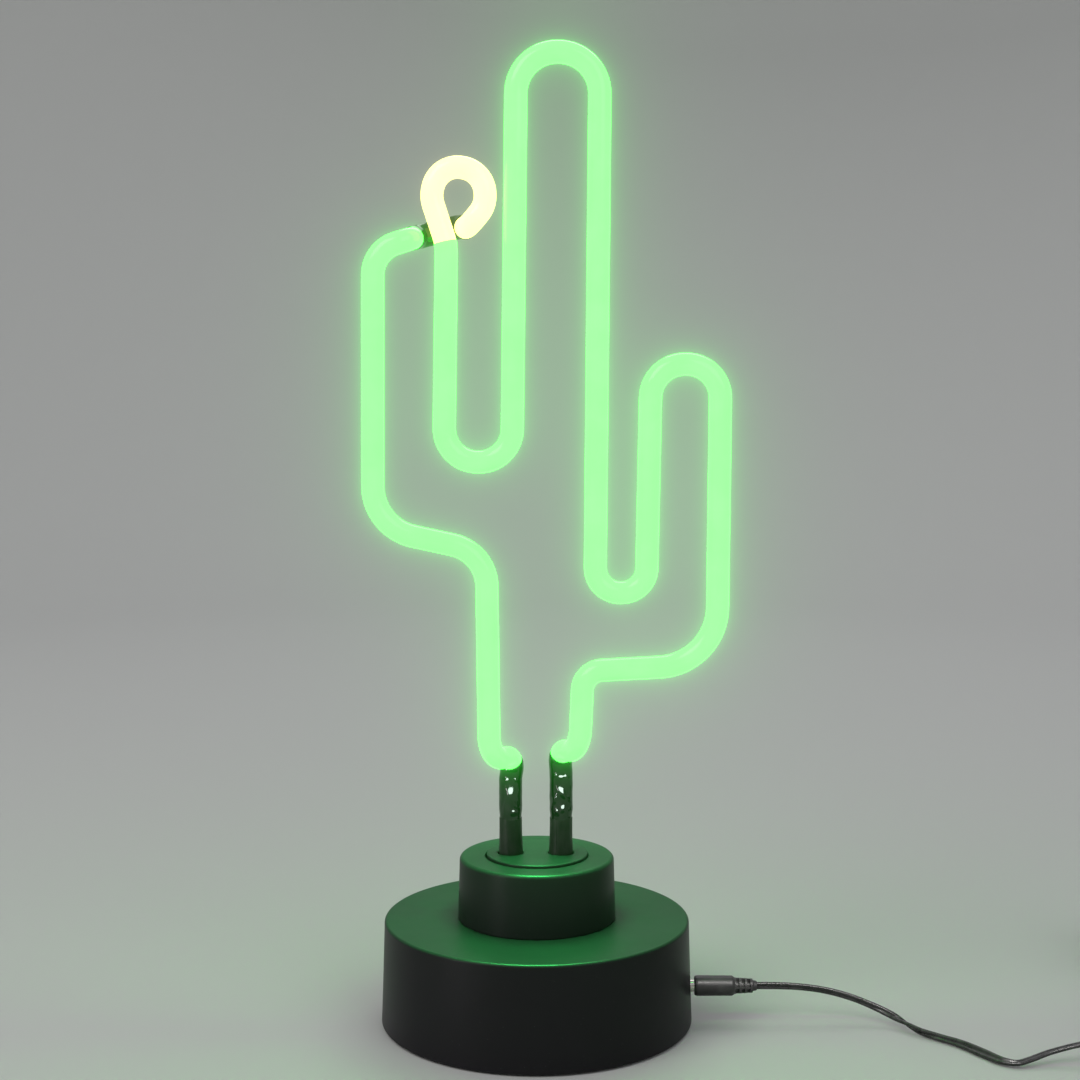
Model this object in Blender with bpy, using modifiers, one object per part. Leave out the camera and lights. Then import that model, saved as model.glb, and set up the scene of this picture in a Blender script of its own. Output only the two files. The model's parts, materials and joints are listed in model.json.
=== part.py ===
"""A tabletop neon sculpture: one bent glass tube in the outline of a cactus, on a round two-step base.

Units: every size below is in millimetres, and the meshes are made in metres.
Frame: +Z up, +X to the right and +Y to the back as the sign faces its viewer.
The origin is on the base's axis, at the surface that the sign stands on.
"""
import math

import bmesh
import bpy
from mathutils import Matrix, Vector

MM = 0.001
GAP = 0.3                      # between pieces that touch on the real object
MERGE = 0.00001                # metres

# Neon tube
TUBE_RADIUS = 4.75
TUBE_WALL = 1.0
FRONT_PLANE = -18.0            # depth of the outline's centreline, in front of the electrodes
CROSSOVER_PLANE = -3.0         # depth of the blacked-out run behind the flower
CHORD_ANGLE = math.radians(20.0)
LEFT_ELECTRODE = -11.6
RIGHT_ELECTRODE = 10.8
LEG_BOTTOM = 91.7
TUBE_SIDES = 2                 # bevel resolution of the bent tube and of every wire
# Round turns of the outline: its left and right runs, and the height that it reaches
LEFT_FORK = (-39.5, -10.5, 250.0)
CROWN = (-8.5, 26.5, 421.0)
RIGHT_FORK = (25.0, 47.0, 194.0)
RIGHT_ARM = (48.5, 78.0, 291.5)
TURN_EASE = 0.3                # a turn's radius is this much under half its width

# Base
BASE_RADIUS = 69.2
BASE_DRAFT = 1.6
BASE_TOP = 46.5
BASE_RIM = 0.6
COLLAR_RADIUS = 35.0
COLLAR_DRAFT = 0.8
COLLAR_TOP = 74.4
COLLAR_FILLET = 1.8
BASE_FILLET = 1.2
WALL = 2.5
SEAT_RADIUS = 33.0             # hole in the drum's top that takes the collar's spigot
SPIGOT_BOTTOM = 42.0
SPIGOT_WALL = 1.7
DISC_RADIUS = 22.4
DISC_EDGE = 0.5                # chamfer
DISC_HOLE = DISC_RADIUS + 0.5
DISC_TOP = 75.5
DISC_BOTTOM = 72.2
PAD_THICKNESS = 1.2
PLATE_BOTTOM = PAD_THICKNESS + GAP
PLATE_TOP = PLATE_BOTTOM + 2.5
PLATE_RADIUS = BASE_RADIUS - WALL - 0.5
PAD_RADIUS = 64.0
BOSS_CIRCLE = 57.0
BOSS_ANGLES = (45, 135, 225, 315)
BOSS_RADIUS = 4.0
PILOT_RADIUS = 1.75
PILOT_TOP = 18.0
SCREW_HOLE_RADIUS = 1.8
SCREW_RECESS = (3.3, 1.3)      # radius and depth in the plate
COVER_SCREW = (2.9, 1.0, 1.35, 12.0)      # head's radius and height, shank's radius and length
BOARD_SCREW = (2.6, 1.2, 1.2, 5.4)
ROUND_STEPS = 52

# Electrode boots and the holder below the inset disc
BOOT_TOP = LEG_BOTTOM - GAP
BOOT_BOTTOM = 60.0
BOOT_OUTLINE = [(5.0, BOOT_TOP), (5.0, 88.0), (5.1, 80.0), (5.35, 76.2), (5.45, 74.0),
                (5.45, BOOT_BOTTOM)]
BOOT_INNER = 4.5
BOOT_HOLE = 5.8                # in the disc and in the holder
ELECTRODE_GLASS = (4.2, 3.6)   # outer and inner radius
ELECTRODE_SHELL = (3.2, 2.7)
LEAD_IN_RADIUS = 0.5
LEAD_IN_BOTTOM = 58.4
HOLDER_TOP = DISC_BOTTOM - 3 * GAP
HOLDER_BOTTOM = 50.0
HOLDER_RADIUS = 20.0
HOLDER_FLANGE = (30.0, 2.4)    # radius and thickness
SOCKET_POCKET = (4.3, 53.4)    # radius and floor of the holes for the brass sockets
SOCKET_TOP = 58.0
OUTLET_RADIUS = 1.9

# Circuit board and power jack
BOARD_TOP = 9.6
BOARD_THICKNESS = 1.6
BOARD_LEFT = -34.0
BOARD_RIGHT = 54.0
BOARD_HALF_DEPTH = 29.0
BOARD_TONGUE = (65.0, 8.0)     # end and half depth of the part under the jack
BOARD_HOLE_INSET = 5.0
POST_RADIUS = 3.2
POST_PILOT = (1.5, 5.0)        # radius and floor
JACK_AXIS = 14.4
JACK_BACK = 55.5
JACK_SHOULDER = 65.2
JACK_FACE = 68.2
JACK_HALF = 4.5
JACK_NOSE_RADIUS = 4.4
JACK_OPENING = 4.9             # radius of the hole in the drum
JACK_PIN = (0.9, 66.0)         # radius and tip

# Parts on the board, in their places on it
CORE_LEFT = -32.0
CORE_RIGHT = 0.0
CORE_HALF_DEPTH = 17.0
CORE_HEIGHT = 14.0
CORE_YOKE = 6.0
WINDOW_INNER = 4.0             # the windows' near and far sides, in front of and behind the leg
WINDOW_OUTER = 12.0
WINDING_CLEARANCE = 0.4
WINDING_HEIGHT = 20.0
SINK_LEFT = 8.0
SINK_RIGHT = 38.0
SINK_FRONT = 19.0
SINK_PLATE = 3.0
SINK_HEIGHT = 22.0
FIN_COUNT = 6
FIN_WIDTH = 2.0
FIN_DEPTH = 5.0
TRANSISTOR_LOW = (18.0, 14.2, 4.0)        # heights here are above the board
TRANSISTOR_HIGH = (28.0, SINK_FRONT - GAP, 19.0)
INPUT_CAPACITOR = (42.0, 15.0, 5.0, 16.0)           # place, radius and height
OUTPUT_CAPACITOR = (-17.0, -23.0, 4.0, 10.0)
CHOKE_CENTRE = (24.0, -8.0)
CHOKE_RING = (6.4, 3.4, 4.0)   # radius, the section's radius and the height of its middle
FUSE_LOW = (20.0, -26.0, 0.0)
FUSE_HIGH = (42.0, -20.0, 8.0)
HIGH_VOLTAGE_RADIUS = 1.3
HIGH_VOLTAGE_STARTS = {"left": (-27.5, -20.0), "right": (-4.5, 21.0)}

# Plug on the power lead, which slides out of the jack along +X
BARREL_RADIUS = 2.75
BARREL_TIP = 59.4
HANDLE_START = 70.6
HANDLE_END = 89.1
RELIEF_END = 98.5
BARREL_BORE = 2.3
BARREL_CHAMFER = 0.3
INSULATOR = (1.95, 1.25, 70.0)            # outer and inner radius, and where it ends
RELIEF_RIBS = 3

# Power lead
LEAD_RADIUS = 1.7
COIL_CENTRE = (278.0, -31.0)
COIL_BOTTOM = 0.8
COIL_TOP = 14.8
COIL_INNER = 12.0
COIL_OUTER = 25.0
TIE_THICKNESS = 0.5
TIE_WIDTH = 5.0

# Wall adapter, lying on its front with its blades up
ADAPTER_CENTRE = (304.0, 58.0)
ADAPTER_SIZE = (44.0, 66.0, 30.0)
ADAPTER_SEAM = 20.0
ADAPTER_RELIEF = 16.0
ADAPTER_OUTLET = 7.0           # height of its lead
BLADE_OFFSET = 6.35            # of each blade from the middle
BLADE_THICKNESS = 1.5
BLADE_WIDTH = 6.2
BLADE_PLACE = 12.0             # how far behind the middle the blades stand
BLADE_HEIGHT = 16.0
BLADE_ROOT = 4.6
SLOT_MARGIN = 0.35


# Scene and materials

def clear_scene():
    for thing in list(bpy.data.objects):
        bpy.data.objects.remove(thing, do_unlink=True)


def new_collection(name):
    collection = bpy.data.collections.new(name)
    bpy.context.scene.collection.children.link(collection)
    return collection


def material(name, colour, roughness, metallic=0.0, glow=None):
    made = bpy.data.materials.new(name)
    made.use_nodes = True
    shader = made.node_tree.nodes["Principled BSDF"]
    shader.inputs["Base Color"].default_value = (*colour, 1.0)
    shader.inputs["Roughness"].default_value = roughness
    shader.inputs["Metallic"].default_value = metallic
    if glow:
        shader.inputs["Emission Color"].default_value = (*glow, 1.0)
        shader.inputs["Emission Strength"].default_value = 2.0
    made.diffuse_color = (*colour, 1.0)
    return made


def place(name, data, finish, collection=None):
    """Make an object from a mesh or a curve, in the sign's collection."""
    data.name = name
    data.materials.append(finish)
    made = bpy.data.objects.new(name, data)
    (collection or SIGN).objects.link(made)
    return made


# Shapes

def mesh_from(work, smooth_angle=None):
    """Scale a bmesh to metres and turn it into a mesh."""
    bmesh.ops.scale(work, vec=(MM, MM, MM), verts=work.verts)
    mesh = bpy.data.meshes.new("shape")
    work.to_mesh(mesh)
    work.free()
    if smooth_angle:
        mesh.shade_smooth()
        mesh.set_sharp_from_angle(angle=math.radians(smooth_angle))
    return mesh


def box_mesh(low, high):
    work = bmesh.new()
    bmesh.ops.create_cube(work, size=1.0)
    size = [b - a for a, b in zip(low, high)]
    middle = [(a + b) / 2 for a, b in zip(low, high)]
    bmesh.ops.scale(work, vec=size, verts=work.verts)
    bmesh.ops.translate(work, vec=middle, verts=work.verts)
    return mesh_from(work)


def box(name, low, high, finish, bevel=0.0, segments=2):
    made = place(name, box_mesh(low, high), finish)
    if bevel:
        edge = made.modifiers.new("rounded edges", "BEVEL")
        edge.width = bevel * MM
        edge.segments = segments
    return made


def rod_mesh(radius, start, end, sides=16, end_radius=None):
    """A closed cylinder or cone between two points."""
    start, end = Vector(start), Vector(end)
    along = end - start
    work = bmesh.new()
    bmesh.ops.create_cone(
        work, cap_ends=True, segments=sides, depth=along.length,
        radius1=radius, radius2=radius if end_radius is None else end_radius)
    turn = along.to_track_quat("Z", "Y").to_matrix().to_4x4()
    bmesh.ops.transform(
        work, matrix=Matrix.Translation((start + end) / 2) @ turn, verts=work.verts)
    return mesh_from(work, 40)


def rod(name, radius, start, end, finish, sides=16):
    return place(name, rod_mesh(radius, start, end, sides), finish)


def turned(name, profile, finish, centre=(0, 0, 0), closed=False, steps=ROUND_STEPS,
           along_x=False, collection=None):
    """Turn a profile of (radius, height) points, listed down its outer side, about an axis."""
    mesh = bpy.data.meshes.new(name)
    points = [(radius * MM, 0, height * MM) for radius, height in profile]
    edges = [(i, i + 1) for i in range(len(points) - 1)]
    if closed:
        edges.append((len(points) - 1, 0))
    mesh.from_pydata(points, edges, [])
    made = place(name, mesh, finish, collection)
    made.location = [value * MM for value in centre]
    if along_x:
        made.rotation_euler = (0, math.pi / 2, 0)
    screw = made.modifiers.new("turned", "SCREW")
    screw.steps = screw.render_steps = steps
    screw.use_merge_vertices = True
    screw.merge_threshold = MERGE
    screw.use_smooth_shade = True
    return made


def corner_arc(centre, radius, start_deg, end_deg, count=2):
    """Points of an arc in a profile, for a rounded edge."""
    angles = [start_deg + (end_deg - start_deg) * i / count for i in range(count + 1)]
    return [(centre[0] + radius * math.cos(math.radians(a)),
             centre[1] + radius * math.sin(math.radians(a))) for a in angles]


def combine(target, mesh, operation, tag):
    """Cut a shape away from a piece, or join it on, with a Boolean."""
    cutter = place(target.name + "_" + tag, mesh, target.data.materials[0], CUTTERS)
    hide_cutter(cutter)
    step = target.modifiers.new(tag, "BOOLEAN")
    step.operation = operation
    step.solver = "EXACT"
    step.object = cutter


def hide_cutter(cutter):
    cutter.hide_render = True
    cutter.display_type = "WIRE"


def curve_data(points, radius, sides_resolution, caps=True):
    curve = bpy.data.curves.new("run", "CURVE")
    curve.dimensions = "3D"
    curve.bevel_depth = radius * MM
    curve.bevel_resolution = sides_resolution
    curve.use_fill_caps = caps
    spline = curve.splines.new("POLY")
    spline.points.add(len(points) - 1)
    for point, where in zip(spline.points, points):
        point.co = (*(Vector(where) * MM), 1.0)
    return curve


def wire(name, points, radius, finish):
    return place(name, curve_data(points, radius, TUBE_SIDES), finish)


def hollow_tube(name, points, finish):
    """A glass tube with a wall and open ends along a centreline."""
    outside = curve_data(points, TUBE_RADIUS, TUBE_SIDES, caps=False)
    guide = bpy.data.objects.new("guide", outside)
    CUTTERS.objects.link(guide)
    bpy.context.view_layer.update()
    evaluated = guide.evaluated_get(bpy.context.evaluated_depsgraph_get())
    mesh = bpy.data.meshes.new_from_object(evaluated)
    bpy.data.objects.remove(guide, do_unlink=True)
    mesh.materials.clear()
    made = place(name, mesh, finish)
    shell = made.modifiers.new("glass wall", "SOLIDIFY")
    shell.thickness = TUBE_WALL * MM
    shell.offset = -1.0
    shell.use_even_offset = True
    return made


def smooth_route(stops, spacing):
    """Points about `spacing` apart on a smooth curve through the stops."""
    stops = [Vector(stop) for stop in stops]
    padded = [2 * stops[0] - stops[1], *stops, 2 * stops[-1] - stops[-2]]
    points = [stops[0]]
    for a, b, c, d in zip(padded, padded[1:], padded[2:], padded[3:]):
        count = max(1, round((c - b).length / spacing))
        for i in range(1, count + 1):
            points.append(catmull_rom(a, b, c, d, i / count))
    return points


def catmull_rom(a, b, c, d, t):
    """A point on the centripetal spline between b and c."""
    k1 = math.sqrt((b - a).length)
    k2 = k1 + math.sqrt((c - b).length)
    k3 = k2 + math.sqrt((d - c).length)
    u = k1 + (k2 - k1) * t
    ab = a.lerp(b, u / k1)
    bc = b.lerp(c, (u - k1) / (k2 - k1))
    cd = c.lerp(d, (u - k2) / (k3 - k2))
    abc = ab.lerp(bc, u / k2)
    bcd = bc.lerp(cd, (u - k1) / (k3 - k1))
    return abc.lerp(bcd, (u - k1) / (k2 - k1))


# The neon tube

def round_turn(name, turn):
    """The two corners of a round turn between two upright runs of the outline."""
    left, right, height = turn
    radius = (right - left) / 2 - TURN_EASE
    return [(name + "_a", (left, FRONT_PLANE, height), radius),
            (name + "_b", (right, FRONT_PLANE, height), radius)]


def round_turn(name, turn):
    """The two corners of a round turn between two upright runs of the outline."""
    left, right, height = turn
    radius = (right - left) / 2 - TURN_EASE
    return [(name + "_a", (left, FRONT_PLANE, height), radius),
            (name + "_b", (right, FRONT_PLANE, height), radius)]


def tube_corners():
    """Corners of the tube's centreline from the left electrode to the right one.

    Each is a name, a place and the radius of the bend there.
    """
    front = FRONT_PLANE
    back = CROSSOVER_PLANE
    return [
        ("start", (LEFT_ELECTRODE, 0, LEG_BOTTOM), 0),
        ("left_ankle", (LEFT_ELECTRODE, 0, 109.0), 12.0),
        ("left_foot", (-10.0, -0.5, 119.0), 7.0),
        ("left_heel", (-20.5, front, 121.0), 12.0),
        ("left_elbow", (-21.5, front, 211.5), 18.5),
        ("left_shoulder", (-70.0, front, 222.0), 22.0),
        ("left_top", (-69.0, front, 339.0), 14.0),
        ("arm_tip", (-53.0, front, 344.0), 7.0),
        ("crossover_left", (-51.5, back, 345.5), 7.0),
        ("crossover_right", (-31.5, back, 350.5), 7.0),
        ("flower_tip", (-29.5, front, 348.0), 7.0),
        ("flower_right", (-21.5, front, 358.0), 11.0),
        ("flower_top_right", (-22.0, front, 372.0), 11.0),
        ("flower_top_left", (-41.0, front, 375.0), 10.5),
        ("flower_left", (-44.5, front, 361.5), 12.5),
        ("flower_root", (-38.0, front, 341.5), 20.0),
        *round_turn("left_fork", LEFT_FORK),
        *round_turn("crown", CROWN),
        *round_turn("right_fork", RIGHT_FORK),
        *round_turn("right_arm", RIGHT_ARM),
        ("right_elbow", (77.5, front, 163.0), 26.0),
        ("right_hip", (20.0, front, 160.0), 9.0),
        ("right_heel", (18.5, front, 125.0), 12.0),
        ("right_foot", (10.0, -0.5, 121.5), 7.0),
        ("right_ankle", (RIGHT_ELECTRODE, 0, 111.5), 12.0),
        ("end", (RIGHT_ELECTRODE, 0, LEG_BOTTOM), 0),
    ]


# Each section runs from one named bend to another.
TUBE_SECTIONS = [
    ("painted_leg_left", "start", "left_foot"),
    ("glass_left_arm", "left_foot", "arm_tip"),
    ("painted_crossover", "arm_tip", "flower_tip"),
    ("glass_flower", "flower_tip", "flower_root"),
    ("glass_stem", "flower_root", "left_fork_b"),
    ("glass_trunk", "left_fork_b", "right_fork_a"),
    ("glass_right_arm", "right_fork_a", "right_foot"),
    ("painted_leg_right", "right_foot", "end"),
]
# Sections meet at a bend's middle chord, or here at its first or last one, which is then lit.
SPLIT_CHORDS = {"arm_tip": "last", "flower_tip": "first"}


def bend_points(before, here, after, radius):
    """Points of the bend at a corner, with an odd number of chords."""
    arrive = (here - before).normalized()
    leave = (after - here).normalized()
    turn = arrive.angle(leave)
    first = here - arrive * radius * math.tan(turn / 2)
    axis = arrive.cross(leave).normalized()
    centre = first + axis.cross(arrive) * radius
    chords = 2 * round(turn / CHORD_ANGLE / 2) + 1
    spin = [Matrix.Rotation(turn * i / chords, 3, axis) for i in range(chords + 1)]
    return [centre + turned_by @ (first - centre) for turned_by in spin]


def tube_route():
    """The whole centreline, and the number of the chord where a section may end at each bend."""
    corners = tube_corners()
    points = [Vector(corners[0][1])]
    splits = {"start": None, "end": None}
    for before, here, after in zip(corners, corners[1:], corners[2:]):
        bend = bend_points(*(Vector(corner[1]) for corner in (before, here, after)), here[2])
        chords = len(bend) - 1
        chord = {"first": 0, "last": chords - 1}.get(SPLIT_CHORDS.get(here[0]), chords // 2)
        splits[here[0]] = len(points) + chord
        points.extend(bend)
    points.append(Vector(corners[-1][1]))
    return points, splits


def section_points(points, first_chord, last_chord):
    """The centreline between the middles of two chords, short by half a gap at each."""
    part = list(points)
    if last_chord is not None:
        part = part[:last_chord + 2]
        part[-1] = (points[last_chord] + points[last_chord + 1]) / 2
        part[-1] += (part[-2] - part[-1]).normalized() * GAP / 2
    if first_chord is not None:
        part = part[first_chord:]
        part[0] = (points[first_chord] + points[first_chord + 1]) / 2
        part[0] += (part[1] - part[0]).normalized() * GAP / 2
    return part


def build_tube():
    points, splits = tube_route()
    for name, first, last in TUBE_SECTIONS:
        finish = LIT_GREEN
        if name.startswith("painted"):
            finish = BLACK_PAINT
        elif name == "glass_flower":
            finish = LIT_CREAM
        hollow_tube(name, section_points(points, splits[first], splits[last]), finish)


def build_electrode(side, x):
    """A boot over the electrode's glass, the metal shell inside it and its lead-in wire."""
    glass, glass_bore = ELECTRODE_GLASS
    shell, shell_bore = ELECTRODE_SHELL
    glass_top = BOOT_TOP - GAP
    turned("electrode_glass_" + side,
           [(glass, glass_top), (glass, 66.0), (2.2, 62.6), (0.9, 62.0), (0.9, 63.4),
            (1.9, 64.4), (glass_bore, 67.0), (glass_bore, glass_top)],
           CLEAR_GLASS, centre=(x, 0, 0), closed=True, steps=14)
    turned("electrode_shell_" + side,
           [(shell, 87.0), (shell, 70.5), (2.4, 69.0), (0, 69.0), (0, 70.0), (2.2, 70.2),
            (shell_bore, 71.2), (shell_bore, 87.0)],
           NICKEL, centre=(x, 0, 0), closed=True, steps=12)
    rod("electrode_wire_" + side, LEAD_IN_RADIUS, (x, 0, LEAD_IN_BOTTOM), (x, 0, 69.0 - GAP),
        NICKEL, sides=8)
    turned("boot_" + side, [*BOOT_OUTLINE, (BOOT_INNER, BOOT_BOTTOM), (BOOT_INNER, BOOT_TOP)],
           RUBBER, centre=(x, 0, 0), closed=True, steps=18)
    turned("socket_contact_" + side,
           [(4.0, SOCKET_TOP), (4.0, 54.0), (1.2, 54.0), (1.2, 53.0), (0, 53.0), (0, 55.0),
            (3.2, 55.4), (3.2, SOCKET_TOP)],
           BRASS, centre=(x, 0, 0), closed=True, steps=12)


# The base

def drum_profile():
    """The lower shell: its wall and its top, down the outer side and back up inside."""
    inner = BASE_RADIUS - WALL
    ceiling = BASE_TOP - WALL
    edge = (BASE_RADIUS - BASE_DRAFT - BASE_FILLET, BASE_TOP - BASE_FILLET)
    return [
        (SEAT_RADIUS, BASE_TOP),
        *corner_arc(edge, BASE_FILLET, 90, 0),
        (BASE_RADIUS, BASE_RIM),
        (inner, BASE_RIM),
        (inner - BASE_DRAFT, ceiling),
        (SEAT_RADIUS, ceiling),
    ]


def collar_profile():
    """The upper shell: its top, its wall and the spigot that drops into the drum."""
    spigot = SEAT_RADIUS - GAP
    edge = (COLLAR_RADIUS - COLLAR_DRAFT - COLLAR_FILLET, COLLAR_TOP - COLLAR_FILLET)
    return [
        (DISC_HOLE, COLLAR_TOP),
        *corner_arc(edge, COLLAR_FILLET, 90, 0),
        (COLLAR_RADIUS, BASE_TOP + GAP),
        (spigot, BASE_TOP + GAP),
        (spigot, SPIGOT_BOTTOM),
        (spigot - SPIGOT_WALL, SPIGOT_BOTTOM),
        (COLLAR_RADIUS - COLLAR_DRAFT - WALL, COLLAR_TOP - WALL),
        (DISC_HOLE, COLLAR_TOP - WALL),
    ]


def around(circle, angle_deg, z):
    angle = math.radians(angle_deg)
    return (circle * math.cos(angle), circle * math.sin(angle), z)


def build_housing():
    turned("base_collar", collar_profile(), BLACK_PLASTIC, closed=True)
    housing = turned("base_housing", drum_profile(), BLACK_PLASTIC, closed=True)
    for angle in BOSS_ANGLES:
        boss = rod_mesh(BOSS_RADIUS, around(BOSS_CIRCLE, angle, PLATE_TOP + GAP),
                        around(BOSS_CIRCLE, angle, BASE_TOP - WALL / 2))
        combine(housing, boss, "UNION", "boss_%d" % angle)
        pilot = rod_mesh(PILOT_RADIUS, around(BOSS_CIRCLE, angle, PLATE_TOP),
                         around(BOSS_CIRCLE, angle, PILOT_TOP), sides=12)
        combine(housing, pilot, "DIFFERENCE", "pilot_%d" % angle)
    opening = rod_mesh(JACK_OPENING, on_jack_axis(BASE_RADIUS - 8), on_jack_axis(BASE_RADIUS + 4), 24)
    combine(housing, opening, "DIFFERENCE", "jack_opening")


def build_inset_disc():
    disc = turned("inset_disc",
                  [(0, DISC_TOP), (DISC_RADIUS - DISC_EDGE, DISC_TOP),
                   (DISC_RADIUS, DISC_TOP - DISC_EDGE), (DISC_RADIUS, DISC_BOTTOM),
                   (0, DISC_BOTTOM)], BLACK_PLASTIC, steps=40)
    for side, x in ELECTRODES.items():
        hole = rod_mesh(BOOT_HOLE, (x, 0, DISC_BOTTOM - 1), (x, 0, DISC_TOP + 1), 20)
        combine(disc, hole, "DIFFERENCE", "hole_" + side)


def build_tube_holder():
    """The block under the disc that holds the boots and the sockets."""
    flange, thickness = HOLDER_FLANGE
    holder = turned("tube_holder",
                    [(0, HOLDER_TOP), (flange, HOLDER_TOP), (flange, HOLDER_TOP - thickness),
                     (HOLDER_RADIUS, HOLDER_TOP - thickness), (HOLDER_RADIUS, HOLDER_BOTTOM),
                     (0, HOLDER_BOTTOM)], DARK_PLASTIC, steps=28)
    pocket_radius, pocket_floor = SOCKET_POCKET
    for side, x in ELECTRODES.items():
        bore = rod_mesh(BOOT_HOLE, (x, 0, SOCKET_TOP + 2 * GAP), (x, 0, HOLDER_TOP + 1), 16)
        combine(holder, bore, "DIFFERENCE", "bore_" + side)
        pocket = rod_mesh(pocket_radius, (x, 0, pocket_floor), (x, 0, BOOT_BOTTOM), 16)
        combine(holder, pocket, "DIFFERENCE", "pocket_" + side)
        outlet = rod_mesh(OUTLET_RADIUS, (x, 0, HOLDER_BOTTOM - 2), (x, 0, pocket_floor + 1), 12)
        combine(holder, outlet, "DIFFERENCE", "outlet_" + side)


def build_bottom():
    plate = turned("bottom_plate",
                   [(0, PLATE_TOP), (PLATE_RADIUS, PLATE_TOP), (PLATE_RADIUS, PLATE_BOTTOM),
                    (0, PLATE_BOTTOM)], DARK_PLASTIC, steps=40)
    recess_radius, recess_depth = SCREW_RECESS
    for number, angle in enumerate(BOSS_ANGLES):
        hole = rod_mesh(SCREW_HOLE_RADIUS, around(BOSS_CIRCLE, angle, 0),
                        around(BOSS_CIRCLE, angle, PLATE_TOP + 1), 8)
        combine(plate, hole, "DIFFERENCE", "hole_%d" % number)
        recess = rod_mesh(recess_radius, around(BOSS_CIRCLE, angle, 0),
                          around(BOSS_CIRCLE, angle, PLATE_BOTTOM + recess_depth), 12)
        combine(plate, recess, "DIFFERENCE", "recess_%d" % number)
        x, y, _ = around(BOSS_CIRCLE, angle, 0)
        screw("cover_screw_%d" % (number + 1), (x, y), PLATE_BOTTOM + 0.05, 1, COVER_SCREW)
    pilot_radius, pilot_floor = POST_PILOT
    for number, (x, y) in enumerate(board_corners()):
        post = rod_mesh(POST_RADIUS, (x, y, PLATE_BOTTOM + 1),
                        (x, y, BOARD_TOP - BOARD_THICKNESS - GAP), 12)
        combine(plate, post, "UNION", "post_%d" % number)
        pilot = rod_mesh(pilot_radius, (x, y, pilot_floor), (x, y, BOARD_TOP), 8)
        combine(plate, pilot, "DIFFERENCE", "post_pilot_%d" % number)
    turned("felt_pad", [(0, PAD_THICKNESS), (PAD_RADIUS, PAD_THICKNESS), (PAD_RADIUS, 0), (0, 0)],
           FELT, steps=40)


def screw(name, where, head_z, way, size):
    """A screw whose head starts at head_z, with its shank upwards (way 1) or downwards (way -1)."""
    head_radius, head_height, shank_radius, length = size
    neck, tip = head_z + way * head_height, head_z + way * length
    profile = [(0, head_z), (head_radius, head_z), (head_radius, neck), (shank_radius, neck),
               (shank_radius, tip), (0, tip)]
    if way > 0:
        profile.reverse()
    return turned(name, profile, STEEL, centre=(*where, 0), steps=10)


# The electronics on the board

def board_corners():
    """Where the board's four screws stand."""
    x_places = (BOARD_LEFT + BOARD_HOLE_INSET, BOARD_RIGHT - BOARD_HOLE_INSET)
    y_place = BOARD_HALF_DEPTH - BOARD_HOLE_INSET
    return [(x, y) for x in x_places for y in (-y_place, y_place)]


def above_board(x, y, height=0.0):
    """A point above the board's top, clear of it by the gap."""
    return (x, y, BOARD_TOP + GAP + height)


def build_board():
    low = BOARD_TOP - BOARD_THICKNESS
    board = box("circuit_board", (BOARD_LEFT, -BOARD_HALF_DEPTH, low),
                (BOARD_RIGHT, BOARD_HALF_DEPTH, BOARD_TOP), BOARD_GREEN)
    end, half = BOARD_TONGUE
    tongue = box_mesh((BOARD_RIGHT - 1, -half, low), (end, half, BOARD_TOP))
    combine(board, tongue, "UNION", "tongue")
    head_top = BOARD_TOP + GAP + BOARD_SCREW[1]
    for number, (x, y) in enumerate(board_corners()):
        hole = rod_mesh(BOARD_SCREW[2] + 0.4, (x, y, low - 1), (x, y, BOARD_TOP + 1), 8)
        combine(board, hole, "DIFFERENCE", "hole_%d" % number)
        screw("board_screw_%d" % (number + 1), (x, y), head_top, -1, BOARD_SCREW)


def build_transformer():
    """A ferrite core with two windows round its middle leg, and the winding on that leg."""
    core = box("transformer_core", above_board(CORE_LEFT, -CORE_HALF_DEPTH),
               above_board(CORE_RIGHT, CORE_HALF_DEPTH, CORE_HEIGHT), FERRITE)
    left, right = CORE_LEFT + CORE_YOKE, CORE_RIGHT - CORE_YOKE
    for tag, near, far in (("front_window", -WINDOW_OUTER, -WINDOW_INNER),
                           ("back_window", WINDOW_INNER, WINDOW_OUTER)):
        window = box_mesh(above_board(left, near, -1), above_board(right, far, CORE_HEIGHT + 1))
        combine(core, window, "DIFFERENCE", tag)
    clear = WINDING_CLEARANCE
    reach = WINDOW_OUTER - clear
    winding = box("transformer_winding", above_board(left + clear, -reach, clear),
                  above_board(right - clear, reach, WINDING_HEIGHT), WINDING_TAPE, bevel=1.5)
    leg = WINDOW_INNER + GAP
    slot = box_mesh(above_board(CORE_LEFT, -leg, -1), above_board(CORE_RIGHT, leg, CORE_HEIGHT + GAP))
    combine(winding, slot, "DIFFERENCE", "leg_slot")


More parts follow.
